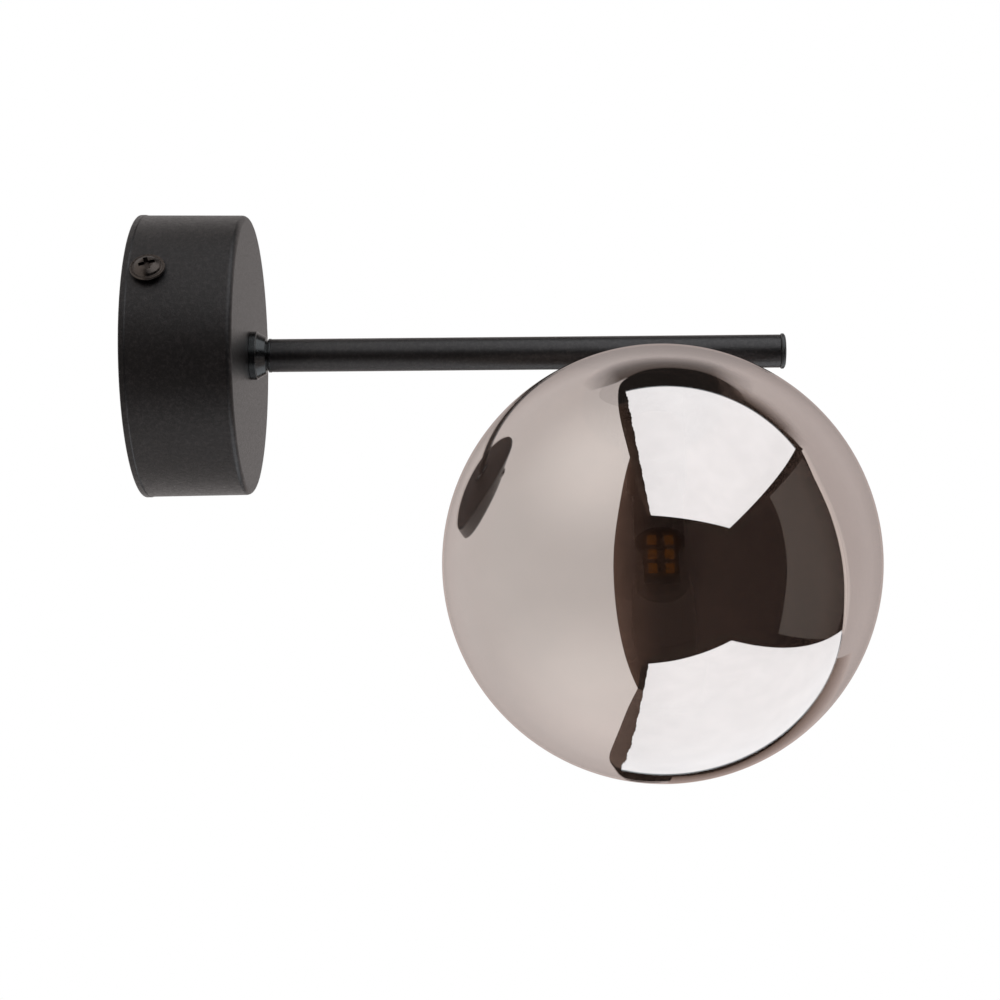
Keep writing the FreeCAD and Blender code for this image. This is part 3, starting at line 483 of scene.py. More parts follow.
def mirror_material(name, mirror, smoke, share):
    """Thin mirror coat that lets a little brown light through, duller seen from inside."""
    recipe = Recipe(name)
    through = recipe.add("BsdfTransparent", Color=smoke)
    cloud = recipe.noise(45, 2.0)
    behind = recipe.add("NewGeometry").outputs["Backfacing"]
    level = recipe.join(recipe.spread(behind, 0.6, 1.0, 0, 1),
                        recipe.spread(cloud, 0.985, 1.015))
    shade = recipe.add("VectorMath", ("Scale", level), operation="SCALE", Vector=mirror)
    gloss = recipe.add("BsdfAnisotropic", ("Color", shade.outputs[0]), Roughness=0.0)
    mix = recipe.add("MixShader", (1, through.outputs[0]), (2, gloss.outputs[0]))
    mix.inputs[0].default_value = share
    return recipe.finish(mix)


made_materials = {}


def material(name):
    """One of the lamp's finishes, made when it is first asked for."""
    if name not in made_materials:
        made_materials[name] = make_material(name, bpy.context.scene.sconce_finishes)
    return made_materials[name]


def make_material(name, finish):
    recipes = {
        "powder_black": lambda: coat_material(name, finish.powder, finish.grain),
        "powder_arm": lambda: coat_material(name, finish.powder, finish.grain, 0.64),
        "satin_black": lambda: paint_material(name, finish.satin),
        "plug_black": lambda: paint_material(name, tinted(finish.satin, 5.0), 0.38),
        "zinc_steel": lambda: metal_material(name, (0.62, 0.63, 0.64), 0.3),
        "screw_bronze": lambda: metal_material(name, finish.nickel, 0.3, scale=900),
        "glass_outer": lambda: clear_material(name, rim=tinted(finish.mirror, 1.15)),
        "glass_coat": lambda: mirror_material(name, finish.mirror, finish.smoke,
                                              finish.mirror_share),
        "glass_edge": lambda: moulded_material(name, (0.45, 0.42, 0.40), 0.35),
        "silicone": lambda: moulded_material(name, (0.75, 0.74, 0.72), 0.55),
        "ceramic": lambda: moulded_material(name, (0.84, 0.81, 0.76), 0.5, speck=0.96),
        "contact_bronze": lambda: metal_material(name, (0.72, 0.50, 0.28), 0.3),
        "brass": lambda: metal_material(name, (0.78, 0.62, 0.32), 0.25, (1, 1, 8)),
        "bulb_white": lambda: moulded_material(name, (0.82, 0.80, 0.77), 0.38, speck=0.97),
        "bulb_clear": lambda: clear_material(name, (0.97, 0.97, 0.96), 1.49, milk=0.2),
        "board_white": lambda: moulded_material(name, (0.80, 0.80, 0.76), 0.35, speck=0.96),
        "led_yellow": lambda: phosphor_material(name),
        "driver_green": lambda: moulded_material(name, (0.05, 0.20, 0.08), 0.35),
        "block_white": lambda: moulded_material(name, (0.80, 0.79, 0.75), 0.45, 0.2),
        "lead_brown": lambda: moulded_material(name, (0.16, 0.065, 0.03), 0.5),
        "lead_blue": lambda: moulded_material(name, (0.04, 0.12, 0.38), 0.5),
        "lead_green": lambda: striped_lead(name),
        "bush_white": lambda: moulded_material(name, (0.78, 0.78, 0.75), 0.4),
    }
    return recipes[name]()


def phosphor_material(name):
    """Orange phosphor of a light chip, with a weak painted glow that shows it through the coat.
    """
    recipe = Recipe(name)
    cloud = recipe.noise(1500, 2.0)
    shade = recipe.ramp(cloud, [(0.3, (0.80, 0.30, 0.03)), (0.7, (0.92, 0.40, 0.05))])
    # painted glow: emission that stands in for light on the chips, the bulb being unlit
    glow = recipe.spread(cloud, 0.35, 0.45)
    shader = recipe.add("BsdfPrincipled", ("Base Color", shade), ("Emission Color", shade),
                        ("Emission Strength", glow), Roughness=0.4)
    return recipe.finish(shader)


def striped_lead(name):
    """Earth lead: green with two yellow stripes."""
    recipe = Recipe(name)
    place = recipe.add("TexCoord").outputs["Object"]
    across = recipe.add("SeparateXYZ", (0, place)).outputs["Y"]
    stripe = recipe.ramp(recipe.spread(across, 0, 1, -0.0009, 0.0009),
                         [(0.0, (0.09, 0.30, 0.05)), (0.34, (0.09, 0.30, 0.05)),
                          (0.37, (0.80, 0.62, 0.05)), (0.63, (0.80, 0.62, 0.05)),
                          (0.66, (0.09, 0.30, 0.05))])
    fine = recipe.noise(2200, 2.0)
    shader = recipe.add("BsdfPrincipled", ("Base Color", stripe),
                        ("Roughness", recipe.spread(fine, 0.42, 0.55)))
    return recipe.finish(shader)


# Pieces -----------------------------------------------------------------------------
class SCONCE_OT_canopy(bpy.types.Operator):
    """Drum canopy with a beaded wall edge, a rounded front edge and two screw holes"""
    bl_idname = "sconce.canopy"
    bl_label = "Canopy"

    def execute(self, context):
        sizes = context.scene.sconce_sizes
        high = reach("canopy")[1]
        radius, depth = high.z, high.x
        wall, bead_width, screw_hole = 1.2, 1.9, 2.3
        side = radius - sizes.canopy_bead / mm
        front = side - sizes.canopy_draft / mm
        edge = sizes.canopy_edge / mm
        screw_low, screw_high = reach("canopy_screw_left")
        bore = reach("threaded_nipple")[1].z + 0.2
        profile = eased([
            (0, radius - wall, 0.25), (0, radius, 0.45), (bead_width, radius, 0.5),
            (bead_width + 0.4, side, 0.3), (depth, front, edge), (depth, bore, 0.1),
            (depth - wall, bore, 0.1), (depth - wall, front - wall, edge - wall)])
        middle = (screw_low + screw_high) / 2 * Vector((1, 0, 1))
        bm = carved(turned(profile, X, steps=sizes.round_steps),
                    [drill(Y, -radius - 2, radius + 2, screw_hole, middle)])
        finished("canopy_drum", bm, "fixture", "powder_black", ["canopy"])
        return {"FINISHED"}


def side_screw(name, node, outward, body):
    """Flanged dome-head screw with a cross recess and a cut thread."""
    low, high = reach(node)
    centre = (low + high) / 2 * Vector((1, 0, 1))
    radius = (high.x - low.x) / 2
    top = abs(high.y if outward.y > 0 else low.y)
    tip = abs(low.y if outward.y > 0 else high.y)
    seat = top - 3.33  # underside of the flange
    crown = top - 0.6
    recess = Vector((4.6, 1.9, 0.86))  # half the length, depth and width of its arms
    dome = [(seat + 0.9, radius * 0.80, 0.3), (seat + 1.6, radius * 0.72, 1.4),
            (crown, radius * 0.42, 2.2), (crown, 0)]
    head = eased([(seat, 0), (seat, radius - 0.1, 0.3), (seat + 0.55, radius, 0.25),
                  (seat + 0.98, radius - 0.25, 0.2)] + dome, 8)
    cutters = []
    for quarter in (0, 1):
        cutter = bmesh.new()
        made = bmesh.ops.create_cube(cutter, size=1)["verts"]
        for vert in made:
            depth = 0.5 - vert.co.y
            vert.co *= recess * 2 * mm
            vert.co.x *= 1 - 0.62 * depth
            vert.co.z *= 1 - 0.2 * depth
        spin = Matrix.Rotation(math.radians(90 * quarter + 18), 3, "Y")
        flip = Matrix.Rotation(math.pi, 3, "X") if outward.y < 0 else Matrix.Identity(3)
        bmesh.ops.transform(cutter, verts=made, matrix=(flip @ spin).to_4x4())
        bmesh.ops.translate(cutter, verts=made, vec=(centre + outward * (crown + 0.25)) * mm)
        cutters.append(cutter)
    bm = carved(turned(head, outward, centre, closed=False), cutters)
    shank = threaded(outward, centre, tip, seat + 0.2, crest=1.98, pitch=0.7, depth=0.35)
    finished(name, joined(bm, shank), body, "screw_bronze", [node], crease=30)


class SCONCE_OT_side_screws(bpy.types.Operator):
    """The two side screws that hold the canopy on its bracket"""
    bl_idname = "sconce.side_screws"
    bl_label = "Side screws"

    def execute(self, context):
        side_screw("side_screw_left", "canopy_screw_left", -Y, "left_screw")
        side_screw("side_screw_right", "canopy_screw_right", Y, "right_screw")
        return {"FINISHED"}


class SCONCE_OT_arm(bpy.types.Operator):
    """Collar, spacer ring, tube and end plug"""
    bl_idname = "sconce.arm"
    bl_label = "Arm"

    def execute(self, context):
        bore = reach("threaded_nipple")[1].z + 0.15
        low, high = reach("collar")
        band, cone_radius = low.x + 2.3, 6.55
        bm = turned(eased([(low.x, bore), (low.x, high.z, 0.15), (band, high.z, 0.22),
                           (band + 0.25, high.z - 0.35, 0.22), (high.x, cone_radius, 0.3),
                           (high.x, bore)]), X, steps=128)
        finished("arm_collar", bm, "fixture", "satin_black", ["collar"])
        low, high = reach("spacer_ring")
        groove_edge, groove_floor = low.x + 0.8, high.z - 0.7
        bm = turned(eased([(low.x, bore), (low.x, groove_floor), (groove_edge, groove_floor),
                           (groove_edge, high.z, 0.12), (high.x, high.z, 0.12),
                           (high.x, bore)]), X, steps=128)
        finished("arm_ring", bm, "fixture", "satin_black", ["spacer_ring"])
        low, high = reach("arm_tube")
        shoulder, pipe_bore, wire_hole = low.x + 11, 4.5, 3.5
        bm = turned(eased([(low.x, bore), (low.x, high.z, 0.15), (high.x, high.z, 0.3),
                           (high.x, pipe_bore), (shoulder, pipe_bore), (shoulder, bore)]),
                    X, steps=128)
        bm = carved(bm, [drill(Z, -9, 0, wire_hole, stem)])
        finished("arm_pipe", bm, "fixture", "powder_black", ["arm_tube"], ["powder_arm"])
        start = high.x
        low, high = reach("end_plug")
        bm = turned(eased([(start + 0.04, 0), (start + 0.04, high.z - 0.45, 0.1),
                           (start + 0.4, high.z, 0.25), (high.x - 0.5, high.z, 0.45),
                           (high.x, high.z - 0.75, 0.5), (high.x - 0.05, 0)]), X, steps=128,
                    closed=False)
        outer, inner, end = 4.2, 2.8, start + 0.1
        spigot = turned([(low.x, inner), (low.x, outer), (end, outer), (end, inner)], X,
                        steps=64)
        finished("arm_plug", joined(bm, spigot), "fixture", "plug_black", ["end_plug"])
        return {"FINISHED"}


class SCONCE_OT_hanger(bpy.types.Operator):
    """Turned stem, cap and the steel under the cap"""
    bl_idname = "sconce.hanger"
    bl_label = "Hanger and cap"

    def execute(self, context):
        for node in ("hanger", "globe_cap"):
            dress(node, "powder_black")
        for node in ("cap_washer", "cap_nut", "holder_strap", "holder_screws"):
            dress(node, "zinc_steel", 0.08)
        return {"FINISHED"}


class SCONCE_OT_globe(bpy.types.Operator):
    """Blown globe, clear outside and mirror-coated inside, with its ring and gasket"""
    bl_idname = "sconce.globe"
    bl_label = "Globe"

    def execute(self, context):
        sizes = context.scene.sconce_sizes
        mouth, steps = 19.0, 96
        fade = 0.5  # radians from the mouth over which the wall thins
        profile, slots = [], []
        for inside in (False, True):
            start = math.asin(mouth / (globe_radius - inside * sizes.mouth_wall / mm))
            turns = [start + (math.pi - start) * step / steps for step in range(steps + 1)]
            for angle in reversed(turns) if inside else turns:
                thin = min(max((angle - start) / fade, 0), 1)
                wall = sizes.mouth_wall + (sizes.belly_wall - sizes.mouth_wall) * thin
                radius = globe_radius - inside * wall / mm
                profile.append((radius * math.cos(angle), radius * math.sin(angle)))
                slots.append(int(inside))
        slots[-1] = 2  # the edge of the mouth
        finished("globe_shade", turned(profile, Z, hub, 2 * steps, slots), "globe",
                 "smoked_glass", ["glass_globe"], ["glass_outer", "glass_coat", "glass_edge"])
        dress("globe_ring", "satin_black")
        dress("globe_gasket", "silicone")
        return {"FINISHED"}


class SCONCE_OT_lampholder(bpy.types.Operator):
    """Ceramic lampholder with its contacts"""
    bl_idname = "sconce.lampholder"
    bl_label = "Lampholder"

    def execute(self, context):
        dress("lampholder", "ceramic", 0.15)
        dress("holder_contacts", "contact_bronze")
        return {"FINISHED"}


class SCONCE_OT_bulb(bpy.types.Operator):
    """Pin-base bulb: white base, clear cover, board, chips and driver"""
    bl_idname = "sconce.bulb"
    bl_label = "Bulb"

    def execute(self, context):
        dress("bulb_base", "bulb_white")
        dress("bulb_pins", "zinc_steel")
        dress("bulb_cover", "bulb_clear")
        dress("bulb_board", "board_white", 0.1)
        dress("bulb_chips", "led_yellow", 0.1)
        dress("bulb_driver", "driver_green", 0.1)
        return {"FINISHED"}


class SCONCE_OT_wall_side(bpy.types.Operator):
    """Bracket, threaded tube, fixings, terminal block and leads"""
    bl_idname = "sconce.wall_side"
    bl_label = "Bracket and wiring"

    def execute(self, context):
        sizes = context.scene.sconce_sizes
        low, high = reach("threaded_nipple")
        rod = threaded(X, Vector(), low.x, high.x, high.z, sizes.thread_pitch / mm, depth=0.5)
        bm = carved(rod, [drill(X, low.x - 1, high.x + 1, radius=3.5)])
        finished("threaded_tube", bm, "fixture", "zinc_steel", ["threaded_nipple"], crease=30)
        for node, finish, bevel in (
                ("mounting_bracket", "zinc_steel", 0.2), ("nipple_nut", "zinc_steel", 0.12),
                ("nipple_washer", "zinc_steel", 0.08), ("nipple_bush", "bush_white", 0.15),
                ("terminal_block", "block_white", 0.2), ("terminal_sleeves", "brass", 0),
                ("terminal_screws", "zinc_steel", 0.05), ("block_screw", "zinc_steel", 0.08),
                ("earth_screw", "zinc_steel", 0.05), ("earth_tag", "brass", 0.08),
                ("live_lead", "lead_brown", 0), ("neutral_lead", "lead_blue", 0),
                ("earth_lead", "lead_green", 0)):
            dress(node, finish, bevel)
        return {"FINISHED"}


# Studio -----------------------------------------------------------------------------
def stage_piece(name, verts, faces, material_, camera=False):
    """Mesh of the studio, seen in reflections, and by the camera only if asked."""
    mesh = bpy.data.meshes.new(name)
    mesh.from_pydata(verts, [], faces)
    mesh.materials.append(material_)
    obj = bpy.data.objects.new(name, mesh)
    bpy.context.scene.collection.objects.link(obj)
    obj.visible_camera = camera
    obj.visible_transmission = camera
    obj.visible_volume_scatter = False
    return obj


def glow_material(name, colour, strength, edge=0.0):
    """Even light, a little dimmer towards a panel's sides where an edge is given."""
    recipe = Recipe(name)
    emission = recipe.add("Emission", Color=colour, Strength=strength)
    if edge:
        place = recipe.add("TexCoord").outputs["Generated"]
        parts = recipe.add("SeparateXYZ", (0, place))
        cloud = recipe.noise(6, 2.0)
        distance = recipe.add("Math", (0, parts.outputs["X"]), operation="SUBTRACT")
        distance.inputs[1].default_value = 0.5
        away = recipe.add("Math", (0, distance.outputs[0]), operation="ABSOLUTE")
        level = recipe.spread(away.outputs[0], strength, strength * (1 - edge), 0.25, 0.5)
        both = recipe.join(level, recipe.spread(cloud, 0.97, 1.03))
        recipe.tree.links.new(both, emission.inputs["Strength"])
    return recipe.finish(emission)


def softbox(name, centre, half, across, up, strength):
    """Rectangular softbox with a slack left edge."""
    across, up = Vector(across).normalized(), Vector(up).normalized()
    away = across.cross(up).normalized()
    rows, ripple, sway = 90, 2.2, 3.0
    verts, faces = [], []
    for row in range(rows + 1):
        level = -1 + 2 * row / rows
        slack = ripple * math.sin(row * 2.3) + sway * math.sin(row * 0.61 + 1)
        for side in (-1, 1):
            width = half[0] * side + (slack if side < 0 else 0)
            verts.append((width * mm, level * half[1] * mm, 0))
        if row:
            last = 2 * row
            faces.append((last - 2, last - 1, last + 1, last))
    panel = stage_piece(name, verts, faces,
                        glow_material(name + "_light", (0.925, 0.985, 1.03), strength, 0.05))
    basis = Matrix((across, up, away)).transposed().to_4x4()
    panel.matrix_world = Matrix.Translation(Vector(centre) * mm) @ basis


def curve(points, steps=6, closed=False):
    """Smooth run of directions through a few given ones."""
    given = [Vector(point).normalized() for point in points]
    count = len(given)
    run = []
    for number in range(count if closed else count - 1):
        if closed:
            before, one, other, after = (given[(number + k) % count] for k in (-1, 0, 1, 2))
        else:
            before, one, other, after = (given[min(max(number + k, 0), count - 1)]
                                         for k in (-1, 0, 1, 2))
        for step in range(steps):
            s = step / steps
            run.append((one * 2 + (other - before) * s
                        + (before * 2 - one * 5 + other * 4 - after) * s ** 2
                        + (one * 3 - before - other * 3 + after) * s ** 3).normalized())
    return run if closed else run + [given[-1]]


def sheet(name, near, far, distance, stops, soft=(), columns=20):
    """Lit part of a large ball round the globe, between two rows of directions."""
    verts, faces = [], []
    near, far = curve(near), curve(far)
    for one, other in zip(near, far):
        for column in range(columns + 1):
            verts.append((hub + one.slerp(other, column / columns) * distance) * mm)
    for row in range(len(near) - 1):
        for column in range(columns):
            corner = row * (columns + 1) + column
            faces.append((corner, corner + 1, corner + columns + 2, corner + columns + 1))
    obj = stage_piece(name, verts, faces, across_glow(name, stops, soft))
    spread = obj.data.uv_layers.new(name="across")
    for loop in obj.data.loops:
        row, column = divmod(loop.vertex_index, columns + 1)
        spread.data[loop.index].uv = (column / columns, row / (len(near) - 1))


def fan(name, outline, distance, material_, rings=14):
    """Part of a large ball round the globe inside an outline of directions."""
    outline = curve(outline, closed=True)
    middle = sum(outline, Vector()).normalized()
    count = len(outline)
    verts = [(hub + middle * distance) * mm]
    faces = []
    for ring in range(1, rings + 1):
        for point in outline:
            verts.append((hub + middle.slerp(point, ring / rings) * distance) * mm)
    for step in range(count):
        after = (step + 1) % count
        faces.append((0, 1 + step, 1 + after))
        for ring in range(1, rings):
            inner, outer = 1 + (ring - 1) * count, 1 + ring * count
            faces.append((inner + step, outer + step, outer + after, inner + after))
    stage_piece(name, verts, faces, material_)


def veil(name, colour, share):
    """Mostly clear haze."""
    recipe = Recipe(name)
    cloud = recipe.noise(4, 2.0)
    clear = recipe.add("BsdfTransparent", Color=(1, 1, 1))
    haze = recipe.add("Emission", Color=colour)
    return recipe.finish(
        recipe.mixed(recipe.spread(cloud, share * 0.9, share * 1.1), clear, haze))


def across_glow(name, stops, soft=()):
    """Light that changes across a sheet, fading out where soft stops are given."""
    recipe = Recipe(name)
    place = recipe.add("UVMap", uv_map="across")
    along = recipe.add("SeparateXYZ", (0, place.outputs[0]))
    shade = recipe.ramp(along.outputs["X"], stops)
    shader = recipe.add("Emission", ("Color", shade))
    if soft:
        clear = recipe.add("BsdfTransparent", Color=(1, 1, 1))
        cover = recipe.ramp(along.outputs["X"], soft)
        ends = recipe.ramp(along.outputs["Y"], [(0, 0), (0.22, 1), (0.78, 1), (1, 0)])
        shader = recipe.mixed(recipe.join(cover, ends), clear, shader)
    return recipe.finish(shader)


# Outlines of the studio's dark things as directions from the globe's centre
top_body = ((-0.19, -0.32, 0.93), (-0.11, -0.21, 0.97), (-0.03, -0.15, 0.99),
            (0.04, -0.13, 0.99), (0.12, -0.12, 0.98), (0.25, -0.13, 0.96), (0.41, -0.22, 0.88),
            (0.47, -0.30, 0.83), (0.61, -0.29, 0.74), (0.75, -0.20, 0.62), (0.78, -0.23, 0.58),
            (0.74, -0.66, 0.13), (0.55, -0.78, -0.31), (0.19, -0.93, -0.32),
            (-0.14, -0.96, -0.25), (-0.23, -0.97, 0.02), (-0.26, -0.91, 0.32),
            (-0.27, -0.73, 0.62), (-0.25, -0.55, 0.80))
bottom_body = ((-0.20, 0.24, -0.95), (-0.24, 0.48, -0.84), (-0.23, 0.82, -0.52),
               (-0.18, 0.95, -0.25), (-0.10, 0.99, -0.02), (-0.04, 0.98, 0.18),
               (0.01, 0.94, 0.33), (0.05, 0.96, 0.28), (0.08, 0.97, 0.20), (0.12, 0.98, 0.13),
               (0.21, 0.97, 0.13), (0.37, 0.92, 0.10), (0.56, 0.83, 0.01), (0.76, 0.65, -0.03),
               (0.86, 0.51, -0.03), (0.88, 0.46, -0.10), (0.85, 0.33, -0.42),
               (0.51, -0.18, -0.84), (0.18, -0.18, -0.97), (-0.16, -0.04, -0.99))
room_left = ((-0.26, -0.91, 0.32), (-0.38, -0.92, -0.09), (-0.45, -0.77, -0.46),
             (-0.42, -0.42, -0.80), (-0.31, -0.02, -0.95), (-0.20, 0.24, -0.95))
room_right = ((0.76, -0.21, 0.62), (0.88, -0.19, 0.44), (0.96, -0.04, 0.26),
              (0.98, 0.14, 0.12), (0.94, 0.34, 0.01), (0.86, 0.50, -0.03))
grey_left = ((0.76, -0.64, 0.11), (0.82, -0.57, 0.00), (0.87, -0.45, -0.18),
             (0.88, -0.31, -0.35), (0.85, -0.16, -0.50), (0.79, 0.02, -0.61))
grey_right = ((0.80, -0.24, 0.55), (0.88, -0.19, 0.44), (0.96, -0.04, 0.26),
              (0.98, 0.14, 0.12), (0.94, 0.34, 0.01), (0.87, 0.47, -0.11))
line_right = ((0.75, -0.17, 0.64), (0.88, -0.13, 0.46), (0.95, 0.02, 0.30),
              (0.96, 0.21, 0.17), (0.91, 0.40, 0.07), (0.84, 0.54, 0.00))
boom_near = ((-0.31, -0.03, 0.95), (-0.19, 0.08, 0.98), (-0.10, 0.13, 0.99),
             (-0.01, 0.14, 0.99), (0.08, 0.14, 0.99), (0.18, 0.16, 0.97), (0.28, 0.15, 0.95),
             (0.39, 0.12, 0.92))
boom_far = ((-0.33, -0.23, 0.91), (-0.22, -0.27, 0.94), (-0.13, -0.23, 0.97),
            (-0.04, -0.18, 0.99), (0.08, -0.16, 0.99), (0.21, -0.16, 0.97),
            (0.35, -0.22, 0.92), (0.48, -0.26, 0.85))
shade_near = ((0.36, -0.26, 0.90), (0.45, -0.31, 0.84), (0.54, -0.31, 0.78),
              (0.65, -0.29, 0.70), (0.76, -0.24, 0.60))
shade_far = ((0.34, -0.10, 0.93), (0.44, -0.09, 0.89), (0.52, -0.07, 0.85),
             (0.63, -0.06, 0.77), (0.75, -0.05, 0.66))
skirt_near = ((0.07, 0.98, 0.05), (0.18, 0.97, 0.09), (0.27, 0.96, 0.07), (0.37, 0.93, 0.05),
              (0.51, 0.86, -0.01), (0.66, 0.75, -0.05), (0.78, 0.63, -0.05))
skirt_far = ((0.05, 0.87, 0.49), (0.11, 0.88, 0.46), (0.18, 0.88, 0.44), (0.26, 0.88, 0.40),
             (0.37, 0.87, 0.33), (0.51, 0.82, 0.25), (0.66, 0.72, 0.18))
hem_near = ((-0.20, 0.24, -0.95), (-0.24, 0.48, -0.84), (-0.23, 0.82, -0.52),
            (-0.18, 0.95, -0.25), (-0.11, 0.99, -0.08))
hem_far = ((-0.05, 0.30, -0.95), (-0.12, 0.52, -0.84), (-0.08, 0.85, -0.52),
           (0.00, 0.97, -0.25), (0.05, 0.99, -0.10))
cuff_near = ((-0.25, -0.55, 0.80), (-0.27, -0.73, 0.62), (-0.26, -0.91, 0.32),
             (-0.23, -0.97, 0.02), (-0.16, -0.96, -0.23))
cuff_far = ((-0.10, -0.56, 0.82), (-0.13, -0.76, 0.63), (-0.12, -0.94, 0.32),
            (-0.09, -0.99, 0.02), (-0.02, -0.97, -0.23))
disc = ((-0.32, -0.40, 0.86), (-0.25, -0.22, 0.94), (-0.17, -0.11, 0.98),
        (-0.05, -0.07, 1.00), (0.08, -0.03, 1.00), (0.22, -0.06, 0.97), (0.35, -0.13, 0.93),
        (0.44, -0.27, 0.86), (0.48, -0.42, 0.77), (0.35, -0.60, 0.72), (0.05, -0.68, 0.73),
        (-0.22, -0.60, 0.77))


class SCONCE_OT_studio(bpy.types.Operator):
    """White sweep, two softboxes, the dark end of the studio, the floor and the camera"""
    bl_idname = "sconce.studio"
    bl_label = "Studio"

    def execute(self, context):
        scene = context.scene
        studio = scene.sconce_studio
        scene.view_settings.view_transform = "Standard"
        self.make_world(scene, studio)
        softbox("softbox_top", (535, -920, 74), (547, 790), (0.992, 0.073, -0.102),
                (0.027, 0.675, 0.738), studio.softbox_light)
        softbox("softbox_bottom", (613, 277, -951), (602, 899), (0.981, -0.194, 0.015),
                (-0.081, -0.479, -0.874), studio.softbox_light)
        black = glow_material("black_cloth", (1.0, 0.8, 0.68), 0.005)
        fan("softbox_top_body", top_body, 2250, black)
        fan("softbox_bottom_body", bottom_body, 2250, black)
        sheet("dark_room", room_left, room_right, 2450,
              [(0, (0.088, 0.055, 0.042)), (0.07, (0.040, 0.024, 0.018)),
               (0.17, (0.005, 0.003, 0.003)), (1, (0.005, 0.003, 0.003))])
        sheet("grey_room", grey_left, grey_right, 2400,
              [(0, (0.085, 0.078, 0.072)), (0.6, (0.078, 0.070, 0.064)),
               (1, (0.045, 0.038, 0.035))])
        sheet("room_edge", room_right, line_right, 2350,
              [(0, (0.78, 0.72, 0.68)), (0.45, (0.84, 0.78, 0.75)), (0.55, (0.60, 0.55, 0.53)),
               (0.7, (0.80, 0.75, 0.73)), (1, (0.66, 0.62, 0.60))])
        sheet("boom", boom_near, boom_far, 2350,
              [(0, (0.38, 0.35, 0.35)), (0.5, (0.18, 0.165, 0.16)), (1, (0.10, 0.08, 0.07))],
              [(0, 0), (0.22, 0.65), (0.5, 0.92), (1, 1)])
        sheet("corner_shade", shade_near, shade_far, 2200,
              [(0, (0.02, 0.015, 0.012)), (0.2, (0.09, 0.07, 0.06)), (1, (0.45, 0.40, 0.38))],
              [(0, 1), (0.45, 0.75), (1, 0)])
        sheet("skirt", skirt_near, skirt_far, 2200,
              [(0, (0.16, 0.12, 0.10)), (0.25, (0.30, 0.24, 0.215)),
               (0.6, (0.44, 0.375, 0.35)), (1, (0.66, 0.60, 0.58))])
        sheet("hem", hem_near, hem_far, 2200,
              [(0, (0.125, 0.092, 0.078)), (1, (0.085, 0.062, 0.052))])
        sheet("cuff", cuff_near, cuff_far, 2150,
              [(0, (0.055, 0.037, 0.029)), (0.5, (0.022, 0.015, 0.012)),
               (1, (0.045, 0.032, 0.026))])
        fan("grey_disc", disc, 2100, veil("grey_haze", (0.10, 0.09, 0.085), 0.14))
        self.make_floor()
        data = bpy.data.cameras.new("camera")
        data.sensor_width, data.lens = 36, studio.lens
        data.clip_start, data.clip_end = 0.05, 50
        camera = bpy.data.objects.new("camera", data)
        camera.location = studio.camera_place
        camera.rotation_euler = Euler(studio.camera_turn, "XYZ")
        scene.collection.objects.link(camera)
        scene.camera = camera
        return {"FINISHED"}

    def make_world(self, scene, studio):
        """White to the camera and through glass, and an uneven sweep to the rest."""
        recipe = Recipe("white_sweep", "World")
        place = recipe.add("TexCoord").outputs["Generated"]

        def towards(direction, start, end, low, high, power=1.0):
            """Rises from low to high as the view turns towards a direction."""
            dot = recipe.add("VectorMath", (0, place), operation="DOT_PRODUCT")
            dot.inputs[1].default_value = Vector(direction).normalized()
            share = recipe.spread(dot.outputs["Value"], 0, 1, start, end)
            bent = recipe.add("Math", (0, share), operation="POWER")
            bent.inputs[1].default_value = power
            return recipe.spread(bent.outputs[0], low, high, 0, 1)

        level = towards((1, 0, 0), -1, 1, studio.sweep_light + 0.04, studio.sweep_light - 0.10)
        for patch in (((-0.40, -0.85, 0.35), 0.6, 1, 0, 0.27, 2.0),
                      ((-0.2, 0.5, -0.84), 0.45, 0.95, 0, 0.24, 1.5),
                      ((0, 0.50, 0.87), 0.90, 0.99, 0, -0.12),
                      ((0.15, 0.72, 0.68), 0.80, 0.99, 0, -0.10)):
            level = recipe.join(level, towards(*patch), "ADD")
        warmth = recipe.ramp(towards((0.7, 0.6, 0.4), -0.6, 0.8, 0, 1),
                             [(0, (1.0, 0.99, 0.97)), (1, (1.0, 0.93, 0.91))])
        sweep = recipe.add("Background", ("Color", warmth), ("Strength", level))
        path = recipe.add("LightPath").outputs
        seen = recipe.join(path["Is Camera Ray"], path["Is Transmission Ray"], "MAXIMUM")
        white = recipe.add("Background", Color=(1, 1, 1))
        scene.world = recipe.finish(recipe.mixed(seen, sweep, white))

    def make_floor(self):
        """Pale floor, white to the camera."""
        recipe = Recipe("pale_floor")
        seen = recipe.add("LightPath").outputs["Is Camera Ray"]
        plain = recipe.add("BsdfDiffuse", Color=(0.9, 0.9, 0.9))
        white = recipe.add("Emission", Color=(1, 1, 1))
        half, level = 4, -2
        floor = stage_piece("floor", [(-half, -half, level), (half, -half, level),
                                      (half, half, level), (-half, half, level)],
                            [(0, 1, 2, 3)], recipe.finish(recipe.mixed(seen, plain, white)),
                            camera=True)
        floor.visible_glossy = floor.visible_diffuse = False


# Panel ------------------------------------------------------------------------------
piece_operators = (
    SCONCE_OT_studio, SCONCE_OT_canopy, SCONCE_OT_side_screws, SCONCE_OT_arm, SCONCE_OT_hanger,
    SCONCE_OT_globe, SCONCE_OT_lampholder, SCONCE_OT_bulb, SCONCE_OT_wall_side)


class SCONCE_PT_pieces(bpy.types.Panel):
    """Lists the steps that build the sconce"""
    bl_label = "Globe wall sconce"
    bl_idname = "SCONCE_PT_pieces"
    bl_space_type = "VIEW_3D"
    bl_region_type = "UI"
    bl_category = "Sconce"

    def draw(self, context):
        for operator in piece_operators:
            self.layout.operator(operator.bl_idname)


settings = {"sconce_sizes": SconceSizes, "sconce_finishes": SconceFinishes,
            "sconce_studio": SconceStudio}
classes = tuple(settings.values()) + piece_operators + (SCONCE_PT_pieces,)


def register():
    for cls in classes:
        bpy.utils.register_class(cls)
    for name, cls in settings.items():
        setattr(bpy.types.Scene, name, PointerProperty(type=cls))


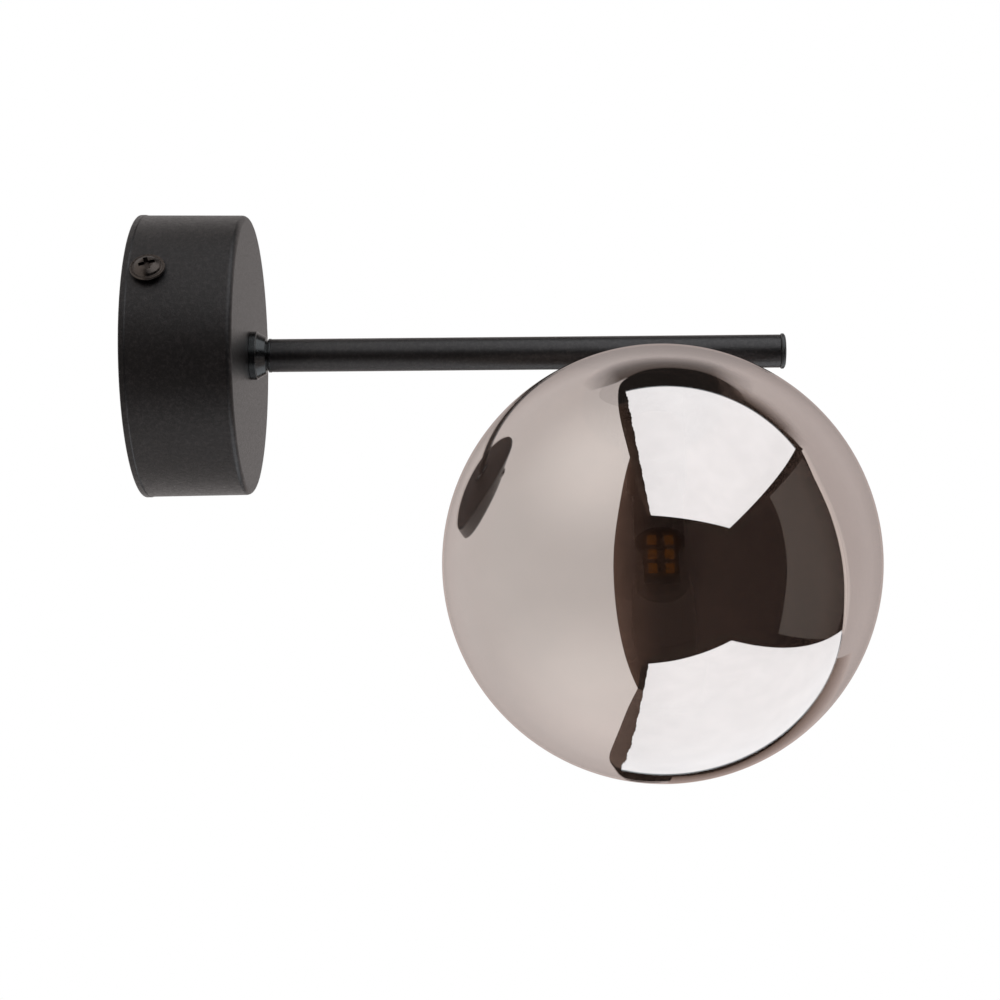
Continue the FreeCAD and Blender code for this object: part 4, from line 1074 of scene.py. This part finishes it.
def unregister():
    for name in settings:
        delattr(bpy.types.Scene, name)
    for cls in reversed(classes):
        bpy.utils.unregister_class(cls)


def main():
    """Builds every piece and the studio."""
    register()
    for operator in piece_operators:
        group, name = operator.bl_idname.split(".")
        getattr(getattr(bpy.ops, group), name)()


if __name__ == "__main__":
    main()
